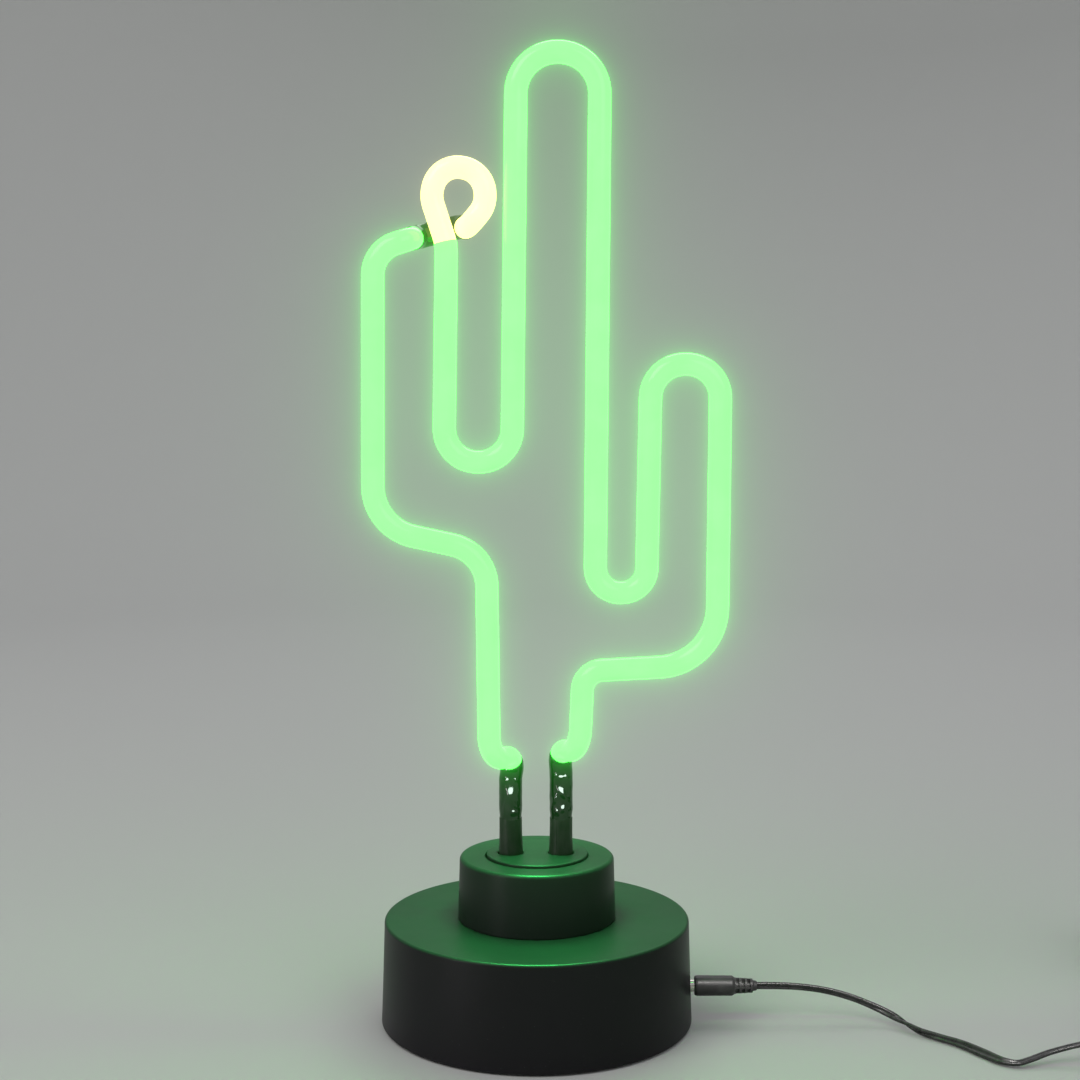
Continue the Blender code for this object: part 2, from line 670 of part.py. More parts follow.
def build_components():
    back = SINK_FRONT + SINK_PLATE
    sink = box("heat_sink", above_board(SINK_LEFT, SINK_FRONT),
               above_board(SINK_RIGHT, back, SINK_HEIGHT), ALUMINIUM)
    pitch = (SINK_RIGHT - SINK_LEFT - FIN_WIDTH) / (FIN_COUNT - 1)
    for number in range(FIN_COUNT):
        x = SINK_LEFT + number * pitch
        fin = box_mesh(above_board(x, SINK_FRONT - 0.1),
                       above_board(x + FIN_WIDTH, back + FIN_DEPTH, SINK_HEIGHT))
        combine(sink, fin, "UNION", "fin_%d" % number)
    box("power_transistor", above_board(*TRANSISTOR_LOW), above_board(*TRANSISTOR_HIGH),
        DARK_PLASTIC, bevel=0.5, segments=1)
    for name, can, finish, sides in (("input_capacitor", INPUT_CAPACITOR, CAN_SLEEVE, 20),
                                     ("output_capacitor", OUTPUT_CAPACITOR, CERAMIC_BLUE, 16)):
        x, y, radius, height = can
        rod(name, radius, above_board(x, y), above_board(x, y, height), finish, sides)
    ring, section, middle = CHOKE_RING
    outline = corner_arc((ring, BOARD_TOP + GAP + middle), section, 90, -270, 8)
    turned("choke", outline[:-1], WINDING_COPPER, centre=(*CHOKE_CENTRE, 0), closed=True, steps=16)
    box("fuse_holder", above_board(*FUSE_LOW), above_board(*FUSE_HIGH), DARK_PLASTIC, bevel=0.6,
        segments=1)


def on_jack_axis(x):
    return (x, 0, JACK_AXIS)


def build_jack():
    jack = box("power_jack", (JACK_BACK, -JACK_HALF, JACK_AXIS - JACK_HALF),
               (JACK_SHOULDER, JACK_HALF, JACK_AXIS + JACK_HALF), DARK_PLASTIC)
    nose = rod_mesh(JACK_NOSE_RADIUS, on_jack_axis(JACK_SHOULDER - 1), on_jack_axis(JACK_FACE), 20)
    combine(jack, nose, "UNION", "nose")
    bore_floor = BARREL_TIP - 1.4
    bore = rod_mesh(BARREL_RADIUS + 0.45, on_jack_axis(bore_floor), on_jack_axis(JACK_FACE + 2), 20)
    combine(jack, bore, "DIFFERENCE", "bore")
    pin_radius, pin_tip = JACK_PIN
    pin_hole = rod_mesh(pin_radius + 0.45, on_jack_axis(JACK_BACK - 1), on_jack_axis(bore_floor + 2), 12)
    combine(jack, pin_hole, "DIFFERENCE", "pin_hole")
    rod("jack_pin", pin_radius, on_jack_axis(JACK_BACK - 1.5), on_jack_axis(pin_tip), NICKEL, sides=12)


def build_high_voltage_leads():
    """Insulated wires from the winding's ends up to the two sockets."""
    for side, x in ELECTRODES.items():
        out, foot = HIGH_VOLTAGE_STARTS[side]
        stops = [above_board(out, foot), (out - 1, foot, 20), (out, foot * 0.9, 32),
                 ((out + x) / 2, foot * 0.5, 40), (x, 0, 45), (x, 0, HOLDER_BOTTOM + 2)]
        wire("high_voltage_lead_" + side, smooth_route(stops, 5.0), HIGH_VOLTAGE_RADIUS, RED_SILICONE)


# The plug, its lead, the coil and the wall adapter

def build_plug():
    spin = dict(along_x=True, centre=(0, 0, JACK_AXIS))
    root = HANDLE_START - GAP
    turned("plug_barrel",
           [(BARREL_RADIUS, root), (BARREL_RADIUS, BARREL_TIP + BARREL_CHAMFER),
            (BARREL_RADIUS - BARREL_CHAMFER, BARREL_TIP), (BARREL_BORE, BARREL_TIP),
            (BARREL_BORE, root)],
           NICKEL, closed=True, steps=24, **spin)
    outer, inner, end = INSULATOR
    tip = BARREL_TIP - GAP
    turned("plug_insulator", [(outer, end), (outer, tip), (inner, tip), (inner, end)],
           DARK_PLASTIC, closed=True, steps=16, **spin)
    turned("plug_handle", handle_profile(), SOFT_PVC, steps=16, **spin)


def handle_profile():
    """The moulded grip and its ribbed, tapering strain relief, from the lead back to the jack."""
    pitch = (RELIEF_END - HANDLE_END - 1.0) / RELIEF_RIBS
    points = [(0, RELIEF_END)]
    for number in range(RELIEF_RIBS):
        end = RELIEF_END - number * pitch
        radius = 2.3 + 0.45 * number
        points += [(radius, end), (radius + 0.15, end - pitch * 0.6),
                   (radius - 0.35, end - pitch * 0.62), (radius - 0.35, end - pitch)]
    points += [(3.6, HANDLE_END + 0.9), (4.2, HANDLE_END), (4.45, HANDLE_END - 1.5),
               (4.5, HANDLE_START + 0.8), (3.9, HANDLE_START), (0, HANDLE_START)]
    return points


def lead_stops():
    """The lead from the strain relief down to the resting surface, along it and up onto the coil."""
    rest = LEAD_RADIUS
    return [
        (RELIEF_END + GAP, 0, JACK_AXIS),
        (108.0, -0.2, JACK_AXIS),
        (118.0, -0.6, 14.0),
        (129.0, -1.2, 12.6),
        (140.0, -2.8, 10.1),
        (149.5, -5.8, 7.1),
        (157.2, -10.8, 4.6),
        (162.5, -17.2, 3.0),
        (167.5, -23.8, 2.0),
        (174.0, -29.8, rest),
        (181.5, -37.2, rest),
        (188.5, -47.6, rest),
        (194.8, -56.4, rest),
        (200.0, -59.0, rest + 0.1),
        (206.0, -57.4, 2.7),
        (214.5, -54.6, 4.6),
        (227.0, -53.8, 7.6),
        (242.0, -54.2, 10.4),
        (252.0, -54.6, 11.8),
        (265.0, -55.0, 12.6),
    ]


def tail_stops():
    """The short stretch from the bottom of the coil to the adapter's strain relief."""
    x, y = ADAPTER_CENTRE
    relief_end = y - ADAPTER_SIZE[1] / 2 - ADAPTER_RELIEF - GAP
    return [
        (x + 0.7, -25.5, 2.5),
        (x + 2.4, -16.5, 2.0),
        (x + 1.6, -7.0, 2.8),
        (x + 0.4, 1.0, 5.4),
        (x, relief_end, ADAPTER_OUTLET),
    ]


def build_lead():
    wire("cord_run", smooth_route(lead_stops(), 8.0), LEAD_RADIUS, LEAD_PVC)
    wire("cord_tail", smooth_route(tail_stops(), 6.0), LEAD_RADIUS, LEAD_PVC)
    cx, cy = COIL_CENTRE
    turned("cord_coil",
           [(COIL_OUTER - 2, COIL_TOP), (COIL_OUTER, COIL_TOP - 2), (COIL_OUTER, COIL_BOTTOM + 2),
            (COIL_OUTER - 2, COIL_BOTTOM), (COIL_INNER + 2, COIL_BOTTOM),
            (COIL_INNER, COIL_BOTTOM + 2), (COIL_INNER, COIL_TOP - 2), (COIL_INNER + 2, COIL_TOP)],
           LEAD_PVC, centre=(cx, cy, 0), closed=True, steps=30)
    inner, outer = COIL_INNER - GAP, COIL_OUTER + GAP
    low, high = COIL_BOTTOM - GAP, COIL_TOP + GAP
    half = TIE_WIDTH / 2
    thick = TIE_THICKNESS
    tie = box("coil_tie", (cx - outer - thick, cy - half, low - thick),
              (cx - inner + thick, cy + half, high + thick), LEAD_PVC)
    window = box_mesh((cx - outer, cy - half - 1, low), (cx - inner, cy + half + 1, high))
    combine(tie, window, "DIFFERENCE", "window")


def build_adapter():
    cx, cy = ADAPTER_CENTRE
    hx, hy = ADAPTER_SIZE[0] / 2, ADAPTER_SIZE[1] / 2
    top = ADAPTER_SIZE[2]
    box("adapter_front_case", (cx - hx, cy - hy, 0), (cx + hx, cy + hy, ADAPTER_SEAM - GAP),
        SOFT_PVC, bevel=2.5, segments=3)
    back = box("adapter_back_case", (cx - hx, cy - hy, ADAPTER_SEAM), (cx + hx, cy + hy, top),
               SOFT_PVC, bevel=1.8, segments=3)
    root = top - BLADE_ROOT
    half_x, half_y = BLADE_THICKNESS / 2, BLADE_WIDTH / 2
    slot_x, slot_y = half_x + SLOT_MARGIN, half_y + 2 * SLOT_MARGIN
    y = cy + BLADE_PLACE
    for side, x in (("left", cx - BLADE_OFFSET), ("right", cx + BLADE_OFFSET)):
        slot = box_mesh((x - slot_x, y - slot_y, root - SLOT_MARGIN), (x + slot_x, y + slot_y, top + 1))
        combine(back, slot, "DIFFERENCE", "slot_" + side)
        box("adapter_blade_" + side, (x - half_x, y - half_y, root),
            (x + half_x, y + half_y, top + BLADE_HEIGHT), BRASS, bevel=0.5, segments=1)
    profile = [(0, ADAPTER_RELIEF), (2.4, ADAPTER_RELIEF), (2.7, 8.0), (3.2, 7.8), (3.2, 5.6),
               (2.9, 5.4), (3.6, GAP), (0, GAP)]
    relief = turned("adapter_strain_relief", profile, SOFT_PVC, steps=14)
    relief.rotation_euler = (math.pi / 2, 0, 0)
    relief.location = Vector((cx, cy - hy, ADAPTER_OUTLET)) * MM


clear_scene()
SIGN = new_collection("neon_sign")
CUTTERS = new_collection("cutters")
ELECTRODES = {"left": LEFT_ELECTRODE, "right": RIGHT_ELECTRODE}

LIT_GREEN = material("lit_green_glass", (0.35, 1.0, 0.38), 0.25, glow=(0.25, 1.0, 0.3))
LIT_CREAM = material("lit_cream_glass", (1.0, 0.93, 0.65), 0.25, glow=(1.0, 0.9, 0.6))
BLACK_PAINT = material("black_block_out_paint", (0.01, 0.01, 0.01), 0.08)
CLEAR_GLASS = material("clear_glass", (0.8, 0.85, 0.85), 0.05)
BLACK_PLASTIC = material("black_satin_plastic", (0.012, 0.011, 0.013), 0.38)
DARK_PLASTIC = material("dark_plastic", (0.03, 0.03, 0.032), 0.5)
RUBBER = material("black_rubber", (0.018, 0.016, 0.017), 0.6)
FELT = material("black_felt", (0.02, 0.02, 0.02), 0.95)
STEEL = material("zinc_steel", (0.62, 0.62, 0.64), 0.35, 1.0)
NICKEL = material("nickel", (0.72, 0.7, 0.66), 0.25, 1.0)
BRASS = material("brass", (0.78, 0.6, 0.3), 0.3, 1.0)
ALUMINIUM = material("aluminium", (0.75, 0.76, 0.78), 0.4, 1.0)
BOARD_GREEN = material("circuit_board_green", (0.02, 0.16, 0.06), 0.45)
FERRITE = material("ferrite", (0.05, 0.05, 0.055), 0.6)
WINDING_TAPE = material("yellow_tape", (0.75, 0.55, 0.06), 0.4)
WINDING_COPPER = material("copper_wire", (0.72, 0.33, 0.15), 0.3, 1.0)
CAN_SLEEVE = material("capacitor_sleeve", (0.02, 0.03, 0.09), 0.35)
CERAMIC_BLUE = material("ceramic_blue", (0.05, 0.2, 0.5), 0.4)
RED_SILICONE = material("red_silicone", (0.5, 0.03, 0.02), 0.5)
SOFT_PVC = material("black_moulded_pvc", (0.022, 0.021, 0.021), 0.45)
LEAD_PVC = material("black_lead_pvc", (0.02, 0.019, 0.019), 0.35)

build_tube()
for side, x in ELECTRODES.items():
    build_electrode(side, x)
build_housing()
build_inset_disc()
build_tube_holder()
build_bottom()
build_board()
build_transformer()
build_components()
build_jack()
build_high_voltage_leads()
build_plug()
build_lead()
build_adapter()
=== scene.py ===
import json
import math

import bmesh
import bpy
import numpy as np
from mathutils import Matrix, Vector


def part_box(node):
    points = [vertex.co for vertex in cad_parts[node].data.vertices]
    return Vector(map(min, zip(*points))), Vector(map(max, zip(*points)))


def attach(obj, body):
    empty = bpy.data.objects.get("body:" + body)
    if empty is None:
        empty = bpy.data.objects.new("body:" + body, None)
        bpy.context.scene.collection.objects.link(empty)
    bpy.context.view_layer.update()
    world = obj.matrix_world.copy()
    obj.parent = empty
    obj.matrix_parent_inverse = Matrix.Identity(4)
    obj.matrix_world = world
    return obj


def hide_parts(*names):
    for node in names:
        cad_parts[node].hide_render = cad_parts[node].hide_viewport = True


# Looks of the cactus-shaped neon sign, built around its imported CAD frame.
# Lengths are in metres. +X is to the right, +Y away from the viewer and +Z up.

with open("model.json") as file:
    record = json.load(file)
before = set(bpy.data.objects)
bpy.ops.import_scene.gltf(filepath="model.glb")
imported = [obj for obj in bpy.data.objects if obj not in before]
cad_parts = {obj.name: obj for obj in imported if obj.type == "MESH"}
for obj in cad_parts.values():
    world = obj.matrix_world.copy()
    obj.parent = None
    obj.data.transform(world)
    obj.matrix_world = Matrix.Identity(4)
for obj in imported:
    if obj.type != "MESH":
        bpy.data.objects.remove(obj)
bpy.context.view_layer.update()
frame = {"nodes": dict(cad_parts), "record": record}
SCENE = bpy.context.scene
SIGN = "sign"
LEAD = "power_lead"

# Camera
CAMERA_PLACE = (0.0, -0.790, 0.291)
CAMERA_PITCH = math.radians(5.5)
CAMERA_YAW = math.radians(0.104)
CAMERA_LENS = 60.5
SENSOR_WIDTH = 36.0

# Neon tube
TUBE_RADIUS = 0.00475
TUBE_SIDES = 32
FRONT = -0.018                 # depth of the outline
BACK = -0.003                  # depth of the blacked-out run behind the flower
BEND_STEP = math.radians(6)
STRAIGHT_STEP = 0.004
LEG_BOTTOM = 0.0917
IN_BOOT = 0.002                # how far the glass reaches down inside each boot
UNDER_PAINT = 0.0025           # how far lit glass carries on beneath the paint
FLOWER_JOINT = 0.0013          # how far before the middle of its root's bend the flower ends
SPLICE_SWELL = 0.00012         # height and half width of the ring where two glasses are joined
SPLICE_SPAN = 0.0012

# Block-out paint
PAINT = 0.00030                # thickness of a full coat
THIN_PAINT = 0.00007           # at its edges and inside the boots
PAINT_SIDES = 72
PAINT_STEP = 0.0004
BOOT_FADE = (LEG_BOTTOM, 0.0955)   # heights between which the coat grows from thin to full
EDGE_RISE = 0.0012             # length over which a brushed end grows to the full coat
EDGE_REACH = 0.002             # how quickly a brushed end's unevenness dies away
EDGE_UNEVEN = 0.00012

# Runs of paint on the front of each leg: place across and up, height, half width, half length
# and lean in degrees.
LEFT_RUNS = [
    (-0.0116, 0.1024, 0.00095, 0.0018, 0.0027, 0),
    (-0.0097, 0.0980, 0.00070, 0.0010, 0.0022, 28),
    (-0.0138, 0.0975, 0.00050, 0.0006, 0.0032, -8),
    (-0.0104, 0.0942, 0.00060, 0.0009, 0.0013, -10),
    (-0.0094, 0.1092, 0.00045, 0.0012, 0.0010, 0),
    (-0.0134, 0.1090, 0.00045, 0.0012, 0.0009, 0),
]
RIGHT_RUNS = [
    (0.0115, 0.1030, 0.00085, 0.0012, 0.0028, 33),
    (0.0084, 0.1006, 0.00075, 0.0010, 0.0022, -16),
    (0.0115, 0.0962, 0.00060, 0.0009, 0.0013, -8),
    (0.0090, 0.0948, 0.00050, 0.0006, 0.0013, 14),
    (0.0084, 0.1112, 0.00045, 0.0009, 0.0009, 20),
    (0.0106, 0.1104, 0.00040, 0.0009, 0.0007, 0),
    (0.0128, 0.1106, 0.00045, 0.0009, 0.0010, -20),
]

# Round turns of the outline: its left and right runs, and the height that it reaches
LEFT_FORK = (-0.0395, -0.0105, 0.2500)
CROWN = (-0.0085, 0.0265, 0.4210)
RIGHT_FORK = (0.0250, 0.0470, 0.1940)
RIGHT_ARM = (0.0485, 0.0780, 0.2915)
TURN_EASE = 0.0003             # a turn's radius is this much under half its width

# How far round its bend a section ends, where that isn't the middle
SPLITS = {"arm_tip": 0.9, "flower_tip": 0.1}

# Power lead: two round cores side by side
LEAD_WIDTH = 0.0034
CORE_RADIUS = 0.00088
LEAD_STEP = 0.0015
PARTED = 0.45                  # how much the cores part, where along X, and over what half length
PARTED_AT = 0.1885
PARTED_SPAN = 0.007
COIL_TURNS = 11
COIL_LAYERS = 4
COIL_PITCH = 0.0033            # between turns in a layer
LAYER_PITCH = 0.0034
COIL_ARRIVES = -95.0           # degrees round the coil, from +X
COIL_LEAVES = -15.0
COIL_STEP = 15                 # about how many degrees lie between stops round the coil
LAYER_STEP = 80                # degrees over which it drops from one layer to the next

# The plug
BARREL_BORE = 0.0023
INSULATOR_RADIUS = 0.00195
INSULATOR_BORE = 0.00125
GRIP_LENGTH = 0.0180           # from the grip's face to its strain relief
RELIEF_RADIUS = 0.0036
RELIEF_TIP = 0.0031

# The lead's route from the plug to the coil, as the CAD source has it, with the turn of its
# flat side in degrees: 0 lies flat and 90 stands on edge.
LEAD_STOPS = [
    ((0.0988, 0.0000, 0.0144), 82),
    ((0.1080, -0.0002, 0.0144), 80),
    ((0.1180, -0.0006, 0.0140), 74),
    ((0.1290, -0.0012, 0.0126), 70),
    ((0.1400, -0.0028, 0.0101), 74),
    ((0.1495, -0.0058, 0.0071), 84),
    ((0.1572, -0.0108, 0.0046), 130),
    ((0.1625, -0.0172, 0.0030), 215),
    ((0.1675, -0.0238, 0.0020), 262),
    ((0.1740, -0.0298, 0.0017), 285),
    ((0.1815, -0.0372, 0.0017), 305),
    ((0.1885, -0.0476, 0.0017), 318),
    ((0.1948, -0.0564, 0.0017), 335),
    ((0.2000, -0.0590, 0.0018), 352),
    ((0.2060, -0.0574, 0.0027), 358),
    ((0.2145, -0.0546, 0.0046), 360),
    ((0.2270, -0.0538, 0.0076), 360),
    ((0.2420, -0.0542, 0.0104), 360),
    ((0.2520, -0.0546, 0.0118), 360),
    ((0.2650, -0.0550, 0.0126), 360),
]
# From the coil to the adapter's strain relief, and on inside the adapter.
TAIL_STOPS = [
    ((0.3047, -0.0255, 0.0025), 360),
    ((0.3064, -0.0165, 0.0020), 360),
    ((0.3056, -0.0070, 0.0028), 360),
    ((0.3044, 0.0010, 0.0054), 360),
    ((0.3040, 0.0087, 0.0070), 360),
    ((0.3040, 0.0250, 0.0070), 360),
    ((0.3040, 0.0430, 0.0070), 360),
]


# Meshes

SHARP_DEG = 35                 # faces that meet at more than this stay sharp


def add_mesh(name, points, faces, sharp_deg=SHARP_DEG):
    """A smooth mesh object with its faces turned outwards."""
    mesh = bpy.data.meshes.new(name)
    mesh.from_pydata([tuple(point) for point in points], [], faces)
    work = bmesh.new()
    work.from_mesh(mesh)
    bmesh.ops.recalc_face_normals(work, faces=work.faces)
    work.to_mesh(mesh)
    work.free()
    mesh.shade_smooth()
    mesh.set_sharp_from_angle(angle=math.radians(sharp_deg))
    piece = bpy.data.objects.new(name, mesh)
    SCENE.collection.objects.link(piece)
    return piece


def skin(name, rings, loop=False, sharp_deg=SHARP_DEG):
    """A surface through rings of points: a loop joins the last ring to the first, else caps close it."""
    sides = len(rings[0])
    points = [point for ring in rings for point in ring]
    faces = []
    last = len(rings) if loop else len(rings) - 1
    for i in range(last):
        a, b = i * sides, (i + 1) % len(rings) * sides
        for j in range(sides):
            k = (j + 1) % sides
            faces.append((a + j, a + k, b + k, b + j))
    if not loop:
        faces.append(tuple(reversed(range(sides))))
        faces.append(tuple(range(len(points) - sides, len(points))))
    return add_mesh(name, points, faces, sharp_deg)


def on_axis(axis, radius, height, angle):
    """A point at a radius and an angle about an axis, `height` along it."""
    across, over = radius * math.cos(angle), radius * math.sin(angle)
    if axis == "x":
        return Vector((height, across, over))
    if axis == "y":
        return Vector((across, height, over))
    return Vector((across, over, height))


def lathe(name, profile, centre=(0, 0, 0), axis="z", steps=96, loop=False, change=None,
          sharp_deg=SHARP_DEG):
    """Turn a profile of (radius, height) points; `change` may move a point by its angle."""
    rings = []
    for radius, height in profile:
        ring = []
        for j in range(steps):
            angle = 2 * math.pi * j / steps
            r, h = change(radius, height, angle) if change else (radius, height)
            ring.append(Vector(centre) + on_axis(axis, r, h, angle))
        rings.append(ring)
    return skin(name, rings, loop, sharp_deg)


def rounded(profile, closed=False, step_deg=15):
    """A profile with arcs at its corners, from points of (radius, height, size of the arc)."""
    made = []
    count = len(profile)
    for i, (x, y, size) in enumerate(profile):
        here = Vector((x, y))
        if not size or (not closed and i in (0, count - 1)):
            made.append((x, y))
            continue
        before = Vector(profile[i - 1][:2])
        after = Vector(profile[(i + 1) % count][:2])
        arrive, leave = (here - before).normalized(), (after - here).normalized()
        turn = arrive.angle_signed(leave)
        first = here - arrive * size * math.tan(abs(turn) / 2)
        side = Vector((arrive.y, -arrive.x)) * math.copysign(1, turn)
        centre = first + side * size
        chords = max(2, math.ceil(abs(math.degrees(turn)) / step_deg))
        for j in range(chords + 1):
            spin = Matrix.Rotation(-turn * j / chords, 2)
            made.append(tuple(centre + spin @ (first - centre)))
    return made


def cut(piece, *cutters):
    """Take the cutters' shapes out of a piece for good."""
    for cutter in cutters:
        step = piece.modifiers.new("cut", "BOOLEAN")
        step.operation = "DIFFERENCE"
        step.solver = "EXACT"
        step.object = cutter
    shape_up(piece)
    for cutter in cutters:
        bpy.data.objects.remove(cutter, do_unlink=True)


def shape_up(piece):
    """Make a piece's modifiers part of its mesh."""
    bpy.context.view_layer.update()
    evaluated = piece.evaluated_get(bpy.context.evaluated_depsgraph_get())
    mesh = bpy.data.meshes.new_from_object(evaluated)
    piece.modifiers.clear()
    piece.data = mesh
    mesh.shade_smooth()
    mesh.set_sharp_from_angle(angle=math.radians(SHARP_DEG))


def round_box(name, low, high, bevel, segments):
    """A box with rounded edges."""
    low, high = Vector(low), Vector(high)
    work = bmesh.new()
    bmesh.ops.create_cube(work, size=1.0)
    bmesh.ops.scale(work, vec=high - low, verts=work.verts)
    bmesh.ops.translate(work, vec=(low + high) / 2, verts=work.verts)
    bmesh.ops.bevel(work, geom=work.edges, offset=bevel, segments=segments, profile=0.5,
                    affect="EDGES")
    mesh = bpy.data.meshes.new(name)
    work.to_mesh(mesh)
    work.free()
    mesh.shade_smooth()
    mesh.set_sharp_from_angle(angle=math.radians(SHARP_DEG))
    piece = bpy.data.objects.new(name, mesh)
    SCENE.collection.objects.link(piece)
    return piece


# Materials, one for each slot in the record

FINISHES = {}


def new_finish(slot, colour, roughness, metallic=0.0):
    made = bpy.data.materials.new(slot)
    made.use_nodes = True
    shader = made.node_tree.nodes["Principled BSDF"]
    shader.inputs["Base Color"].default_value = (*colour, 1)
    shader.inputs["Roughness"].default_value = roughness
    shader.inputs["Metallic"].default_value = metallic
    made.diffuse_color = (*colour, 1)
    FINISHES[slot] = made
    return made.node_tree, shader


def pattern(tree, kind, scale, stretch=(1, 1, 1), **values):
    """A texture on the object's own coordinates; a small stretch draws it out along that axis."""
    place = tree.nodes.new("ShaderNodeTexCoord")
    mapping = tree.nodes.new("ShaderNodeMapping")
    mapping.inputs["Scale"].default_value = stretch
    tree.links.new(place.outputs["Object"], mapping.inputs["Vector"])
    made = tree.nodes.new("ShaderNodeTex" + kind)
    made.inputs["Scale"].default_value = scale
    for socket, value in values.items():
        made.inputs[socket].default_value = value
    tree.links.new(mapping.outputs["Vector"], made.inputs["Vector"])
    return made.outputs["Distance" if kind == "Voronoi" else "Fac"]


def tint(tree, shader, factor, low, high, stops=(0.35, 0.65), socket="Base Color"):
    """Colour that runs from low to high with a texture."""
    ramp = tree.nodes.new("ShaderNodeValToRGB")
    ends = ramp.color_ramp.elements
    ends[0].position, ends[1].position = stops
    ends[0].color, ends[1].color = (*low, 1), (*high, 1)
    tree.links.new(factor, ramp.inputs["Fac"])
    tree.links.new(ramp.outputs["Color"], shader.inputs[socket])


def wear(tree, shader, factor, low, high):
    """Roughness that runs from low to high with a texture."""
    span = tree.nodes.new("ShaderNodeMapRange")
    span.inputs["From Min"].default_value = 0.3
    span.inputs["From Max"].default_value = 0.7
    span.inputs["To Min"].default_value = low
    span.inputs["To Max"].default_value = high
    tree.links.new(factor, span.inputs["Value"])
    tree.links.new(span.outputs["Result"], shader.inputs["Roughness"])


def relief(tree, shader, factor, depth, strength=1.0, before=None):
    """Bump of a real depth, laid over an earlier one."""
    bump = tree.nodes.new("ShaderNodeBump")
    bump.inputs["Strength"].default_value = strength
    bump.inputs["Distance"].default_value = depth
    tree.links.new(factor, bump.inputs["Height"])
    if before:
        tree.links.new(before.outputs["Normal"], bump.inputs["Normal"])
    tree.links.new(bump.outputs["Normal"], shader.inputs["Normal"])
    return bump


def lit_glass(slot, body, glow_low, glow_high, strength):
    """Glass over glowing phosphor, whose coat is a little uneven along the tube."""
    tree, shader = new_finish(slot, body, 0.16)
    cloud = pattern(tree, "Noise", 70, Detail=3)
    grain = pattern(tree, "Noise", 1400, Detail=2)
    tint(tree, shader, cloud, glow_low, glow_high, socket="Emission Color")
    shader.inputs["Emission Strength"].default_value = strength
    shader.inputs["Specular IOR Level"].default_value = 0.35
    wear(tree, shader, cloud, 0.12, 0.22)
    relief(tree, shader, grain, 0.00002, 0.3)


def black_paint():
    """Brushed block-out enamel: glossy, lumpy and thicker in places."""
    tree, shader = new_finish("black_paint", (0.002, 0.002, 0.002), 0.08)
    strokes = pattern(tree, "Noise", 420, (1, 1, 0.45), Detail=2, Roughness=0.4)
    fine = pattern(tree, "Noise", 1900, (1, 1, 0.25), Detail=3)
    tint(tree, shader, strokes, (0.0006, 0.0005, 0.0006), (0.0016, 0.0013, 0.0015))
    wear(tree, shader, strokes, 0.05, 0.11)
    lumps = relief(tree, shader, strokes, 0.0004, 0.25)
    relief(tree, shader, fine, 0.00002, 0.2, lumps)
    shader.inputs["Specular IOR Level"].default_value = 0.45


def boot_rubber():
    """Satin sleeve with draw marks down its length and a little chalking."""
    tree, shader = new_finish("boot_rubber", (0.012, 0.010, 0.012), 0.5)
    shader.inputs["Specular IOR Level"].default_value = 0.3
    streaks = pattern(tree, "Noise", 900, (1, 1, 0.06), Detail=4)
    chalk = pattern(tree, "Noise", 260, (1, 1, 0.5), Detail=5)
    tint(tree, shader, chalk, (0.007, 0.006, 0.007), (0.024, 0.020, 0.023), (0.4, 0.75))
    wear(tree, shader, streaks, 0.34, 0.52)
    relief(tree, shader, streaks, 0.00025, 0.6)


def base_plastic():
    """Black satin ABS with a fine moulded grain and a few specks of dust."""
    tree, shader = new_finish("base_plastic", (0.010, 0.009, 0.011), 0.38)
    grain = pattern(tree, "Noise", 5200, Detail=2)
    flow = pattern(tree, "Noise", 45, Detail=5)
    dust = pattern(tree, "Voronoi", 420, Randomness=1.0)
    tint(tree, shader, dust, (0.10, 0.10, 0.10), (0.010, 0.009, 0.011), (0.025, 0.05))
    wear(tree, shader, flow, 0.36, 0.43)
    relief(tree, shader, grain, 0.00003, 0.35)
    shader.inputs["Specular IOR Level"].default_value = 0.13


def nickel():
    """Plated turned metal: fine rings about the plug's axis, and light handling marks."""
    tree, shader = new_finish("nickel", (0.72, 0.70, 0.66), 0.2, 1.0)
    rings = pattern(tree, "Noise", 6500, (1, 0.02, 0.02), Detail=3)
    marks = pattern(tree, "Noise", 600, Detail=4)
    tint(tree, shader, marks, (0.60, 0.57, 0.52), (0.78, 0.76, 0.72))
    wear(tree, shader, marks, 0.14, 0.28)
    relief(tree, shader, rings, 0.00002, 0.4)


def moulded_pvc():
    """Soft black moulding with a spark-eroded texture and faint scuffs."""
    tree, shader = new_finish("moulded_pvc", (0.018, 0.017, 0.018), 0.45)
    spark = pattern(tree, "Noise", 3600, Detail=3, Roughness=0.6)
    scuffs = pattern(tree, "Noise", 130, (1, 1, 0.4), Detail=6)
    tint(tree, shader, scuffs, (0.014, 0.013, 0.014), (0.040, 0.038, 0.039), (0.45, 0.8))
    wear(tree, shader, scuffs, 0.36, 0.5)
    relief(tree, shader, spark, 0.00006, 0.45)


def lead_pvc():
    """Extruded insulation: satin, with drag lines and slight swells."""
    tree, shader = new_finish("lead_pvc", (0.014, 0.013, 0.014), 0.3)
    swell = pattern(tree, "Noise", 240, Detail=2)
    skin_marks = pattern(tree, "Noise", 2600, Detail=3)
    tint(tree, shader, swell, (0.010, 0.010, 0.010), (0.026, 0.025, 0.026))
    wear(tree, shader, swell, 0.22, 0.34)
    relief(tree, shader, skin_marks, 0.00003, 0.3)


def felt():
    """Pressed black felt, with loose fibres."""
    tree, shader = new_finish("felt", (0.02, 0.02, 0.022), 0.95)
    fibres = pattern(tree, "Noise", 2200, Detail=6, Distortion=1.5)
    tint(tree, shader, fibres, (0.012, 0.012, 0.013), (0.05, 0.05, 0.054))
    relief(tree, shader, fibres, 0.0003, 0.8)
    shader.inputs["Sheen Weight"].default_value = 0.3


